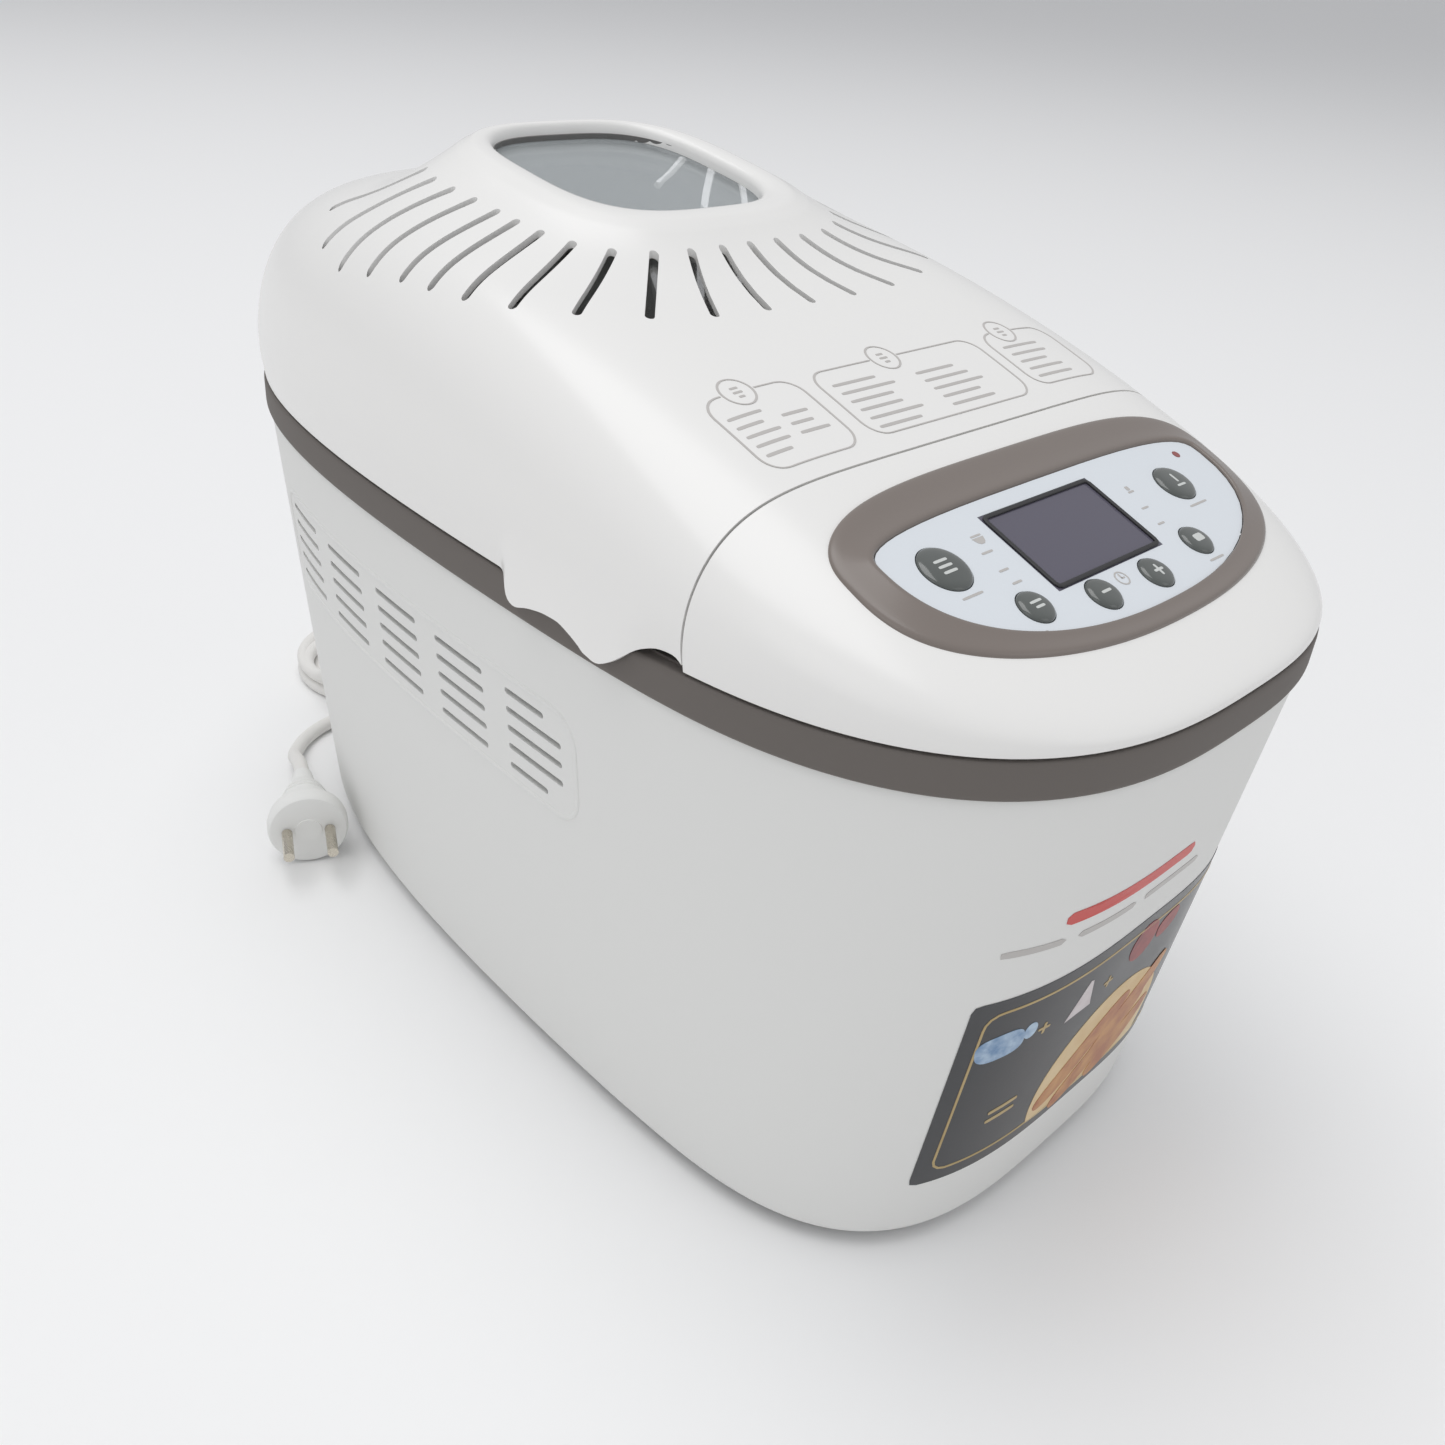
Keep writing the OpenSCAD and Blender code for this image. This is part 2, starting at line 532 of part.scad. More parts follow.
module motor_belt() belt(motor_y, pinion_r, shaft_y[0], wheel_r, 15, 8);
module link_belt() belt(shaft_y[0], link_r, shaft_y[1], link_r, 27.3, 3.8);
module motor_body() color("gray") translate([0, motor_y, 36]) difference() {
    union() {
        translate([0, 0, 14]) rounded(70, 70, 34, 8);
        cylinder(r = 30, h = 62);
    }
    translate([0, 0, -1]) cylinder(r = 4 + run_gap, h = 70);
}
module motor_bracket() color("silver") translate([0, motor_y, 0]) {
    difference() {
        translate([-50, -34, 33.9]) cube([100, 68, 2]);
        translate([0, 0, 30]) cylinder(r = 9, h = 10);
    }
    for (x = [-44, 44], y = [-28, 28]) translate([x, y, foot_gap + 2.7])
        cylinder(r = 4, h = 34 - foot_gap - 2.7);
}
module motor_pulley() color("ivory") translate([0, motor_y, 13]) pulley(pinion_r, 12, 4);
module fan_wheel() color("ivory") translate([0, motor_y, 100]) difference() {
    union() {
        cylinder(r = 8, h = 10);
        for (a = [0 : 40 : 320]) rotate([0, 0, a]) translate([5, -0.8, 1]) cube([23, 1.6, 8]);
    }
    translate([0, 0, -1]) cylinder(r = 4 + run_gap, h = 14);
}
module motor_rotor() {
    color("silver") translate([0, motor_y, 11]) cylinder(r = 4, h = 100);
    fan_wheel();
}
module power_board() color("darkgreen") translate([-30, -196, 122]) {
    cube([60, 1.6, 50]);
    translate([8, 1.7, 8]) cube([18, 14, 14]);
    translate([34, 1.7, 10]) cube([16, 10, 24]);
}

// --- Pan ---
module pan_block(inset, low, high) {
    hull() {
        translate([0, oven_y, low])
            rounded(pan_foot_w - 2 * inset, pan_foot_l - 2 * inset, 1, 24, $fn = 32);
        translate([0, oven_y, high - 1])
            rounded(pan_top_w - 2 * inset, pan_top_l - 2 * inset, 1, 27, $fn = 32);
    }
}
module bread_pan() color("#55504d") difference() {
    union() {
        difference() {
            union() {
                pan_block(0, pan_z, pan_z + pan_h);
                translate([0, oven_y, pan_z + pan_h - 2])
                    rounded(pan_top_w + 5, pan_top_l + 5, 2, 29);
                for (s = [-1, 1]) translate([0, oven_y + s * 106, handle_z]) rotate([90, 0, 0])
                    cylinder(r = 6, h = 11, center = true);
            }
            pan_block(pan_wall, pan_z + pan_wall, pan_z + pan_h + 1);
        }
        for (y = shaft_y) translate([0, y, pan_z]) cylinder(r = 9, h = 9);
    }
    for (y = shaft_y) translate([0, y, 60]) cylinder(r = shaft_d / 2 + run_gap, h = 30);
    for (s = [-1, 1]) translate([0, oven_y + s * 107, handle_z]) rotate([90, 0, 0])
        cylinder(r = pin_r + run_gap, h = 14, center = true);
}
module pan_fittings() color("silver") {
    for (s = [-1, 1]) translate([0, oven_y, handle_z]) rotate([-90 * s, 0, 0]) {
        translate([0, 0, 108.2]) cylinder(r = pin_r, h = 11.3);
        translate([0, 0, 118]) cylinder(r = 4, h = 2);
    }
    for (y = shaft_y) translate([0, y, 57]) difference() {
        cylinder(r = 16, h = pan_z - 57);
        translate([0, 0, -1]) cylinder(r = 12, h = pan_z - 55);
    }
}
bail_x = 76;
bail_y = 115.5;
bail_r = 24;
bail_d = 4.4;
module pan_handle() color("silver") translate([0, oven_y, handle_z]) {
    for (m = [0, 1]) mirror([0, m, 0]) {
        difference() {
            union() {
                translate([0, bail_y, 0]) rotate([90, 0, 0]) cylinder(r = 5, h = 3, center = true);
                translate([4, bail_y, 0]) rotate([0, 90, 0])
                    cylinder(d = bail_d, h = bail_x - bail_r - 4);
            }
            translate([0, bail_y, 0]) rotate([90, 0, 0])
                cylinder(r = pin_r + run_gap, h = 12, center = true);
        }
        translate([bail_x - bail_r, bail_y - bail_r, 0]) tube_bend(bail_r, bail_d, 90);
    }
    translate([bail_x, 0, 0]) rotate([90, 0, 0])
        cylinder(d = bail_d, h = 2 * (bail_y - bail_r), center = true);
}
module pan_spindle(y) {
    color("silver") translate([0, y, 66.5]) cylinder(d = shaft_d, h = 44);
    dog(y, 67, 62.5, 90);
}
module front_pan_spindle() pan_spindle(shaft_y[0]);
module rear_pan_spindle() pan_spindle(shaft_y[1]);
module paddle(y, turn) color("#4a4644") translate([0, y, 83]) rotate([0, 0, turn]) difference() {
    union() {
        cylinder(r = 9, h = 26);
        hull() {
            translate([4, 0, 0]) cylinder(r = 3, h = 24, $fn = 32);
            translate([38, 4, 0]) cylinder(r = 2, h = 12, $fn = 32);
        }
    }
    translate([0, 0, -1]) cylinder(r = shaft_d / 2 + run_gap, h = 28);
}
module front_paddle() paddle(shaft_y[0], 20);
module rear_paddle() paddle(shaft_y[1], 200);

// --- Mains lead ---
gland_at = [-30, 208.4, 24];
coil_at = [14, 268];
coil_in = 31;
coil_out = 45;
// Centre line of the lead from the gland to the coil, and from the coil to the plug
lead_a = [[-30, 232, 24], [-30, 239, 23], [-29.5, 247, 20], [-28.5, 255, 15.5], [-27.6, 262, 12],
    [-27.5, 268, 10.6]];
lead_b = [[14, 226.5, 3.6], [0, 226.5, 3.6], [-16, 226.5, 3.6], [-32, 226.5, 3.6],
    [-47, 225.2, 3.6], [-61, 219.5, 3.6], [-72, 209.8, 5], [-79, 199, 9.5], [-83.4, 188.5, 14.5],
    [-87, 178.5, 17.4], [-91.4, 168.9, 18.2]];
plug_face = [-113, 126, 18.2];
plug_dir = [0.45, 0.893, 0];
module plug_axis() {
    translate(plug_face) rotate([0, 0, atan2(plug_dir[1], plug_dir[0])]) rotate([0, 90, 0]) children();
}
function unit(v) = v / norm(v);
function tangent(path, i) = unit(path[min(i + 1, len(path) - 1)] - path[max(i - 1, 0)]);
function lead_ring(path, i) = let (t = tangent(path, i), side = unit(cross(t, [0, 0, 1])),
    up = cross(side, t)) [for (k = [0 : 9])
        path[i] + lead_d / 2 * (cos(36 * k) * side + sin(36 * k) * up)];
module lead(path) color("whitesmoke") stack_solid([for (i = [0 : len(path) - 1]) lead_ring(path, i)]);
module lead_gland() color("whitesmoke") translate(gland_at) rotate([-90, 0, 0]) rotate_extrude()
    polygon([[0, 0], [8, 0], [8, 3], [6.4, 4], [5, 12], [4, 23.5], [0, 23.5]]);
module lead_inner() lead(lead_a);
module lead_coil() color("whitesmoke") translate([coil_at[0], coil_at[1], 0]) rotate_extrude()
    translate([coil_in, 0.1]) square([coil_out - coil_in, 14]);
module lead_outer() lead(lead_b);
module mains_plug() color("white") plug_axis() {
    rotate_extrude() polygon([[0, 0], [17, 0], [18, 1], [18, 9], [15, 12], [11, 22], [6.5, 34],
        [4.6, 48], [0, 48]]);
}
module plug_pins() color("silver") plug_axis() for (s = [-9.5, 9.5]) translate([0, s, -19])
    cylinder(r = 2.4, h = 19);

casing();
rim_band();
oven_deck();
base_plate();
feet();
base_screws();
hinge_brackets();
hinge_pin();
control_housing();
housing_back_plate();
panel_bezel();
panel_fascia();
display_window();
display_module();
control_board();
indicator_light();
menu_button();
weight_button();
minus_button();
plus_button();
colour_button();
start_button();
lid_shell();
lid_hinge_lugs();
lid_liner();
window_pane();
window_inner_pane();
window_seal();
oven_cavity();
oven_posts();
heating_element();
element_clips();
oven_sensors();
pan_clips();
shaft_bearings();
front_drive_shaft();
rear_drive_shaft();
drive_wheel();
front_link_pulley();
rear_link_pulley();
motor_belt();
link_belt();
motor_body();
motor_bracket();
motor_rotor();
motor_pulley();
power_board();
bread_pan();
pan_fittings();
pan_handle();
front_pan_spindle();
rear_pan_spindle();
front_paddle();
rear_paddle();
lead_gland();
lead_inner();
lead_coil();
lead_outer();
mains_plug();
plug_pins();
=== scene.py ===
"""Two-paddle bread machine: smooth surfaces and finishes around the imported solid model.

Sizes are in millimetres while a surface is worked out, and metres once it is a mesh. The origin is the
centre of the footprint on the floor, +Z is up and the controls face -Y. Driving sizes come from the
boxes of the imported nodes, and the formulas of the outer surfaces are those of the solid model.
"""

from __future__ import annotations

import json
import logging
import math
from collections.abc import Callable, Sequence
from dataclasses import dataclass, field
from enum import Enum

import bmesh
import bpy
import numpy as np
from mathutils import Matrix, Vector

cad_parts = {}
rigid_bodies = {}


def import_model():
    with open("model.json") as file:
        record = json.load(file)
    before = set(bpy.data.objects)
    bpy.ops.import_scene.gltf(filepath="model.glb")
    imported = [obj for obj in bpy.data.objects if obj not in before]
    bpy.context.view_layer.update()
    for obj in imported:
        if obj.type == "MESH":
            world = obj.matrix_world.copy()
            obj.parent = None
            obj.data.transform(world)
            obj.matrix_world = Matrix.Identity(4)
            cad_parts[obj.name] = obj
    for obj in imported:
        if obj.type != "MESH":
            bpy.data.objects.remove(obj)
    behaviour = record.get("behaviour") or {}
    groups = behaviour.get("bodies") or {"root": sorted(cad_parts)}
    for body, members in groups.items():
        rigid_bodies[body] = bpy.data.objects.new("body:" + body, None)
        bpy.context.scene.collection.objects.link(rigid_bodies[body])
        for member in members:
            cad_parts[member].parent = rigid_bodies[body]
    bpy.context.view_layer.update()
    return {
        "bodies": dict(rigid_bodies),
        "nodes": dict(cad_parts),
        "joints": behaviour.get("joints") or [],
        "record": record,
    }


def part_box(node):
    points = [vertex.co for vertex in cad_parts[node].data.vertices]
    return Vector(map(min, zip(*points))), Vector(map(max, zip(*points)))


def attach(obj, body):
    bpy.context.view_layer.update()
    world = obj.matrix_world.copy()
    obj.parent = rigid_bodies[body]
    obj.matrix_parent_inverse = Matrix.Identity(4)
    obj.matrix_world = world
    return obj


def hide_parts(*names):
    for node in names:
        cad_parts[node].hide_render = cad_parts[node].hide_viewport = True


LOG = logging.getLogger("bread_machine")
MM = 0.001
FULL_TURN = 2.0 * math.pi
Points = np.ndarray


class Slot(Enum):
    """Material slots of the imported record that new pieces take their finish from."""

    CASING = "casing_white"
    GLOSS = "gloss_white"
    BAND = "band_taupe"
    BEZEL = "bezel_taupe"
    KEY = "button_grey"
    PAN = "pan_coating"
    PADDLE = "paddle_coating"
    LEAD = "lead_white"
    PLUG = "plug_white"
    DARK = "dark_plastic"


class Body(Enum):
    """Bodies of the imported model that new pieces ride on."""

    HOUSING = "housing"
    LID = "lid"
    PAN = "pan"
    FRONT_KNEADER = "front_kneader"
    REAR_KNEADER = "rear_kneader"


# --- Numbers and points ---


def corners(node: str) -> tuple[Points, Points]:
    """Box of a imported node.

    Args:
        node: Name of the node.

    Returns:
        Its lowest and highest corner, in millimetres.
    """
    low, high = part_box(node)
    return np.array(low) / MM, np.array(high) / MM


def mix(a: Points | float, b: Points | float, k: Points | float) -> Points:
    """Returns a + (b - a) k."""
    return a + (b - a) * k


def smooth(t: Points) -> Points:
    """Returns the smooth step 3 t^2 - 2 t^3 of t held between 0 and 1."""
    t = np.clip(t, 0.0, 1.0)
    return t * t * (3.0 - 2.0 * t)


def signed_power(v: Points, p: float) -> Points:
    """Returns sign(v) |v|^p."""
    return np.sign(v) * np.abs(v) ** p


def superellipse(rx: float, ry: float, n: float, count: int) -> Points:
    """Closed loop x = rx cos^(2/n) a, y = ry sin^(2/n) a, with the signs of cosine and sine kept.

    Args:
        rx: Half width.
        ry: Half length.
        n: Squareness; 2 is an ellipse.
        count: Number of points.

    Returns:
        Points of shape (count, 2).
    """
    a = np.arange(count) * FULL_TURN / count
    return np.stack([rx * signed_power(np.cos(a), 2 / n), ry * signed_power(np.sin(a), 2 / n)], 1)


def rounded_loop(w: float, l: float, r: float, corner: int = 10) -> Points:
    """Closed rounded rectangle: quarter circles of radius r joined by straight runs.

    Args:
        w: Width along x.
        l: Length along y.
        r: Corner radius.
        corner: Steps in each quarter circle.

    Returns:
        Points of shape (n, 2), anticlockwise.
    """
    quarter = np.linspace(0, math.pi / 2, corner)
    loops = []
    for q, (sx, sy) in enumerate([(1, 1), (-1, 1), (-1, -1), (1, -1)]):
        a = quarter + q * math.pi / 2
        loops.append(np.stack([sx * (w / 2 - r) + r * np.cos(a), sy * (l / 2 - r) + r * np.sin(a)], 1))
    return np.concatenate(loops)


def spline(points: Points, step: float) -> Points:
    """Smooth path through given points: a Catmull-Rom cubic over each span, then even spacing.

    Args:
        points: Points of shape (n, 3).
        step: Distance between the points that are returned.

    Returns:
        Points of shape (m, 3), evenly spaced along the curve.
    """
    ends = np.concatenate([[2 * points[0] - points[1]], points, [2 * points[-1] - points[-2]]])
    t = np.linspace(0, 1, 24, endpoint=False)[:, None]
    p0, p1, p2, p3 = (ends[i : len(ends) - 3 + i][:, None, :] for i in range(4))
    cubic = 0.5 * (2 * p1 + (p2 - p0) * t + (2 * p0 - 5 * p1 + 4 * p2 - p3) * t**2
                   + (3 * p1 - p0 - 3 * p2 + p3) * t**3)
    dense = np.concatenate([cubic.reshape(-1, 3), points[-1:]])
    return even(dense, step)


def even(path: Points, step: float) -> Points:
    """Respaces a path evenly along its own length."""
    run = np.concatenate([[0], np.cumsum(np.linalg.norm(np.diff(path, axis=0), axis=1))])
    at = np.linspace(0, run[-1], max(2, int(round(run[-1] / step)) + 1))
    return np.stack([np.interp(at, run, path[:, k]) for k in range(path.shape[1])], 1)


def even_loop(loop: Points, step: float) -> Points:
    """Respaces a closed loop evenly; its first point isn't repeated at the end."""
    return even(np.concatenate([loop, loop[:1]]), step)[:-1]


def at_height(plan: Points, z: float) -> Points:
    """Returns plan points with a height added."""
    return np.concatenate([plan, np.full((len(plan), 1), z)], 1)


# --- Meshes ---


@dataclass
class Shape:
    """Grids of points, in millimetres, that become one mesh."""

    points: list[Points] = field(default_factory=list)
    quads: list[Points] = field(default_factory=list)
    count: int = 0

    def grid(self, g: Points, wrap_columns: bool = True, wrap_rows: bool = False) -> "Shape":
        """Adds a grid, with a quad between each two rows and columns.

        Args:
            g: Points of shape (rows, columns, 3).
            wrap_columns: Joins the last column to the first.
            wrap_rows: Joins the last row to the first.

        Returns:
            This shape.
        """
        rows, columns = g.shape[:2]
        index = np.arange(rows * columns).reshape(rows, columns) + self.count
        if wrap_columns:
            index = np.concatenate([index, index[:, :1]], 1)
        if wrap_rows:
            index = np.concatenate([index, index[:1]], 0)
        a, b, c, d = index[:-1, :-1], index[:-1, 1:], index[1:, 1:], index[1:, :-1]
        self.quads.append(np.stack([a, b, c, d], -1).reshape(-1, 4))
        self.points.append(g.reshape(-1, 3))
        self.count += rows * columns
        return self

    def tube(self, path: Points, section: Points, up: Sequence[float] = (0, 0, 1),
             closed: bool = False) -> "Shape":
        """Carries a closed section along a path; the section's x lies sideways and its y upwards.

        Args:
            path: Points of shape (n, 3).
            section: Points of shape (m, 2), or (n, m, 2) where it changes along the path.
            up: Direction that the section's y leans to, or one such direction for each point.
            closed: The path joins up with itself.

        Returns:
            This shape.
        """
        if closed:
            ahead, behind = np.roll(path, -1, 0), np.roll(path, 1, 0)
        else:
            ahead, behind = np.concatenate([path[1:], path[-1:]]), np.concatenate([path[:1], path[:-1]])
        along = ahead - behind
        along /= np.linalg.norm(along, axis=1, keepdims=True)
        side = np.cross(along, np.broadcast_to(np.array(up, float), along.shape))
        side /= np.linalg.norm(side, axis=1, keepdims=True)
        lift = np.cross(side, along)
        section = np.broadcast_to(section, (len(path),) + section.shape[-2:])
        rings = (path[:, None] + section[..., :1] * side[:, None] + section[..., 1:] * lift[:, None])
        if not closed:
            ends = [np.repeat(p[None, None], rings.shape[1], 1) for p in (path[0], path[-1])]
            rings = np.concatenate([ends[0], rings, ends[1]])
        return self.grid(rings, wrap_rows=closed)

    def lathe(self, profile: Points, place: Callable[[Points], Points], count: int = 64) -> "Shape":
        """Turns a profile of (radius, height) about the z axis of a local frame.

        Args:
            profile: Points of shape (n, 2), from pole to pole.
            place: Takes local points of shape (..., 3) to the part's frame.
            count: Steps round the axis.

        Returns:
            This shape.
        """
        a = np.arange(count) * FULL_TURN / count
        r, z = profile[:, :1], np.repeat(profile[:, 1:], count, 1)
        return self.grid(place(np.stack([r * np.cos(a), r * np.sin(a), z], -1)))

    def print_on(self, outline: Points, place: Callable[[Points, float], Points], rings: int = 3,
                 thick: float = 0.12, lift: float = 0.0) -> "Shape":
        """Adds a thin film on a surface: rings shrink from the outline to its middle, above and below.

        Args:
            outline: Star-shaped loop of shape (n, 2) in the surface's own coordinates.
            place: Takes such points and a height above the surface to the part's frame.
            rings: Rings between the middle and the outline.
            thick: Thickness of the film.
            lift: Height of its underside above the surface.

        Returns:
            This shape.
        """
        middle = outline.mean(0)
        scale = np.linspace(0, 1, rings + 1)[:, None, None]
        top = place(middle + (outline - middle) * scale, lift + thick)
        under = place(middle + (outline - middle) * scale[::-1], lift)
        return self.grid(np.concatenate([top, under]))

    def prism(self, low: Points, high: Points) -> "Shape":
        """Adds a closed prism between two loops of shape (n, 3)."""
        return self.grid(np.stack([0 * low + low.mean(0), low, high, 0 * high + high.mean(0)]))

    def object(self, name: str, outward_from: Points | None = None) -> bpy.types.Object:
        """Makes the mesh: doubles merged, faces outward.

        Args:
            name: Name of the piece.
            outward_from: For an open sheet, the point that its faces turn away from.

        Returns:
            The new object, with its place in its mesh.
        """
        mesh = bpy.data.meshes.new(name)
        mesh.from_pydata((np.concatenate(self.points) * MM).tolist(), [], np.concatenate(self.quads).tolist())
        bm = bmesh.new()
        bm.from_mesh(mesh)
        bmesh.ops.remove_doubles(bm, verts=bm.verts, dist=2e-6)
        bmesh.ops.recalc_face_normals(bm, faces=bm.faces)
        if outward_from is not None:
            centre = Vector(outward_from) * MM
            if sum(f.normal.dot(f.calc_center_median() - centre) * f.calc_area() for f in bm.faces) < 0:
                bmesh.ops.reverse_faces(bm, faces=bm.faces)
        bm.to_mesh(mesh)
        bm.free()
        made = bpy.data.objects.new(name, mesh)
        bpy.context.scene.collection.objects.link(made)
        return made


def bake_modifiers(piece: bpy.types.Object) -> None:
    """Gives a piece the mesh that its modifiers make, and removes them."""
    old = piece.data
    seen = piece.evaluated_get(bpy.context.evaluated_depsgraph_get())
    piece.data = bpy.data.meshes.new_from_object(seen)
    piece.data.name = old.name
    piece.modifiers.clear()
    bpy.data.meshes.remove(old)


def keep_side(piece: bpy.types.Object, y: float, rear: bool) -> None:
    """Cuts an open sheet at the plane y and keeps one side of it.

    Args:
        piece: Sheet to cut.
        y: Place of the plane, in millimetres.
        rear: Keeps the side of larger y.
    """
    bm = bmesh.new()
    bm.from_mesh(piece.data)
    everything = [*bm.verts, *bm.edges, *bm.faces]
    bmesh.ops.bisect_plane(bm, geom=everything, plane_co=(0, y * MM, 0), plane_no=(0, 1, 0),
                           clear_inner=rear, clear_outer=not rear)
    bm.to_mesh(piece.data)
    bm.free()


def give_wall(piece: bpy.types.Object, thickness: float) -> None:
    """Thickens an open sheet inwards by a wall, in millimetres."""
    wall = piece.modifiers.new("wall", "SOLIDIFY")
    wall.thickness = thickness * MM
    wall.offset = -1.0
    bake_modifiers(piece)


def cut_away(piece: bpy.types.Object, cutter: Shape) -> None:
    """Takes the solids of a shape away from a piece."""
    tool = cutter.object("cutting_tool")
    cut = piece.modifiers.new("cut", "BOOLEAN")
    cut.operation = "DIFFERENCE"
    cut.solver = "MANIFOLD"
    cut.object = tool
    bake_modifiers(piece)
    bpy.data.objects.remove(tool)


def dress(piece: bpy.types.Object, finish: "Finish", body: Body | str,
          stands_for: Sequence[str] = (), edge: float = 38.0) -> bpy.types.Object:
    """Gives a piece its finish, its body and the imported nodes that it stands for.

    Args:
        piece: Finished mesh object.
        finish: Finish to put on it.
        body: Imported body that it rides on.
        stands_for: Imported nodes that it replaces.
        edge: Edges that turn more than this many degrees stay sharp.

    Returns:
        The piece.
    """
    piece.data.materials.clear()
    piece.data.materials.append(finish.material())
    piece.data.polygons.foreach_set("use_smooth", np.ones(len(piece.data.polygons), bool))
    piece.data.set_sharp_from_angle(angle=math.radians(edge))
    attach(piece, body.value if isinstance(body, Body) else body)
    if stands_for:
        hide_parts(*stands_for)
    return piece


# --- The outer form ---


@dataclass
class Form:
    """Driving sizes of the outside and the formulas of its surfaces."""

    half_w: float
    front: float
    back: float
    foot_half_w: float
    foot_front: float
    foot_back: float
    low: float
    casing_h: float
    lid_low: float
    widest: float = -87.0
    rear: float = 315.0
    foot_rear: float = 295.0
    front_n: float = 2.75
    foot_front_n: float = 3.3
    seam: float = -120.0
    seam_z: float = 260.0
    crown: float = 80.0
    crown_z: float = 304.0
    back_drop: float = 14.0
    window_z: float = 316.0
    window_slope: float = 0.17
    hood_x: float = 56.0
    hood_y: float = 50.0
    hood: float = 45.0
    hood_n: float = 3.2
    pane_x: float = 45.2
    pane_y: float = 42.2
    pane: float = 49.0
    ear_rise: float = 19.0
    front_u: Points = field(default_factory=lambda: np.zeros(0), repr=False)
    rear_u: Points = field(default_factory=lambda: np.zeros(0), repr=False)

    @classmethod
    def from_frame(cls) -> "Form":
        """Reads the driving sizes from the boxes of the rim band, the base plate and the casing.

        Returns:
            The form, with its outline steps chosen.
        """
        band_low, band_high = corners("rim_band")
        plate_low, plate_high = corners("base_plate")
        casing_low, casing_high = corners("casing")
        proud, plate_inset, gap = 0.6, 13.0, 0.15
        form = cls(
            half_w=band_high[0] - proud, front=cls.widest - band_low[1] - proud, back=band_high[1] - proud,
            foot_half_w=plate_high[0] + plate_inset,
            foot_front=cls.widest - plate_low[1] + plate_inset, foot_back=plate_high[1] + plate_inset,
            low=casing_low[2], casing_h=casing_high[2], lid_low=band_high[2] + gap)
        form.choose_steps(spacing=4.0, fine=1.5)
        return form

    def choose_steps(self, spacing: float, fine: float) -> None:
        """Chooses the angles of the outline's points: evenly along it, and closer beside the lifting ears.

        Args:
            spacing: Distance between points, in millimetres.
            fine: Distance between them beside the ears.
        """
        u = np.linspace(0, math.pi / 2, 6000)
        for name, line in (("front_u", self.front_arc(u, self.half_w, self.front, self.front_n)),
                           ("rear_u", self.rear_arc(u, self.half_w, self.rear))):
            step = np.linalg.norm(np.diff(line, axis=0), axis=1)
            y = (line[1:, 1] + line[:-1, 1]) / 2
            near = smooth((60.0 - np.abs(y + 76.0)) / 16.0) * (np.abs(line[1:, 0]) > 60)
            run = np.concatenate([[0], np.cumsum(step / mix(spacing, fine, near))])
            setattr(self, name, np.interp(np.linspace(0, run[-1], int(run[-1]) + 1), run, u))

    @staticmethod
    def taper(t: Points) -> Points:
        """Returns how the width falls to the rear: 1 - 0.19 t^1.4."""
        return 1 - 0.19 * t**1.4

    def front_arc(self, u: Points, half_w: float, front: float, n: float) -> Points:
        """Returns the front quarter: x = half_w cos^(2/n) u, y = widest - front sin^(2/n) u."""
        return np.stack([half_w * np.cos(u).clip(0) ** (2 / n),
                         self.widest - front * np.sin(u) ** (2 / n)], -1)

    def rear_arc(self, u: Points, half_w: float, rear: float) -> Points:
        """Returns the rear quarter: t = sin^0.5 u, x = half_w taper(t) cos^0.62 u, y = widest + rear t."""
        t = np.sin(u) ** 0.5
        return np.stack([half_w * self.taper(t) * np.cos(u).clip(0) ** 0.62, self.widest + rear * t], -1)

    def ring(self, half_w: float, front: float, rear: float, n: float, back: float) -> Points:
        """Closed outline in plan: front tip, right side, rear tip, left side.

        Args:
            half_w: Half of the greatest width.
            front: Distance from the widest section to the front tip.
            rear: Distance from the widest section to the rear tip.
            n: Squareness of the front.
            back: Flat back that cuts the rear off.

        Returns:
            Points of shape (n, 2).
        """
        right = np.concatenate([self.front_arc(self.front_u[::-1], half_w, front, n),
                                self.rear_arc(self.rear_u[1:], half_w, rear)])
        right[:, 1] = right[:, 1].clip(max=back)
        left = right[-2:0:-1] * [-1, 1]
        return np.concatenate([right, left])

    def rim(self, inset: float) -> Points:
        """Returns the outline of the rim, drawn in by an inset."""
        return self.ring(self.half_w - inset, self.front - inset, self.rear - inset, self.front_n,
                         self.back - inset)

    def foot(self, inset: float) -> Points:
        """Returns the outline of the foot, drawn in by an inset."""
        return self.ring(self.foot_half_w - inset, self.foot_front - inset, self.foot_rear - inset,
                         self.foot_front_n, self.foot_back - inset)

    def wall_share(self, z: Points) -> Points:
        """Returns how far the wall has grown from foot to rim at a height: (z / height)^0.95."""
        return (z / self.casing_h) ** 0.95

    def wall_ring(self, z: float, inset: float) -> Points:
        """Returns the closed outline of the casing at a height."""
        return at_height(mix(self.foot(inset), self.rim(inset + 1), self.wall_share(z)), z)

    def front_wall(self, x: Points, z: Points, lift: Points | float = 0.0) -> Points:
        """A point of the front wall: halving finds the outline angle whose x is the wanted one.

        Args:
            x: Distances from the middle.
            z: Heights.
            lift: Distance out from the wall.

        Returns:
            Points with a last axis of 3.
        """
        k = self.wall_share(z)

        def at(u: Points) -> tuple[Points, Points]:
            foot = self.front_arc(u, self.foot_half_w, self.foot_front, self.foot_front_n)
            rim = self.front_arc(u, self.half_w - 1, self.front - 1, self.front_n)
            both = mix(foot, rim, np.asarray(k)[..., None])
            return both[..., 0], both[..., 1]

        return self._on_wall(at, np.abs(x), x, z, lift, by_x=True)

    def side_wall(self, y: Points, z: Points, side: float, lift: Points | float = 0.0) -> Points:
        """A point of the side wall behind the widest section, found by halving on its y.

        Args:
            y: Places along the wall.
            z: Heights.
            side: 1 on the right and -1 on the left.
            lift: Distance out from the wall.

        Returns:
            Points with a last axis of 3.
        """
        k = self.wall_share(z)

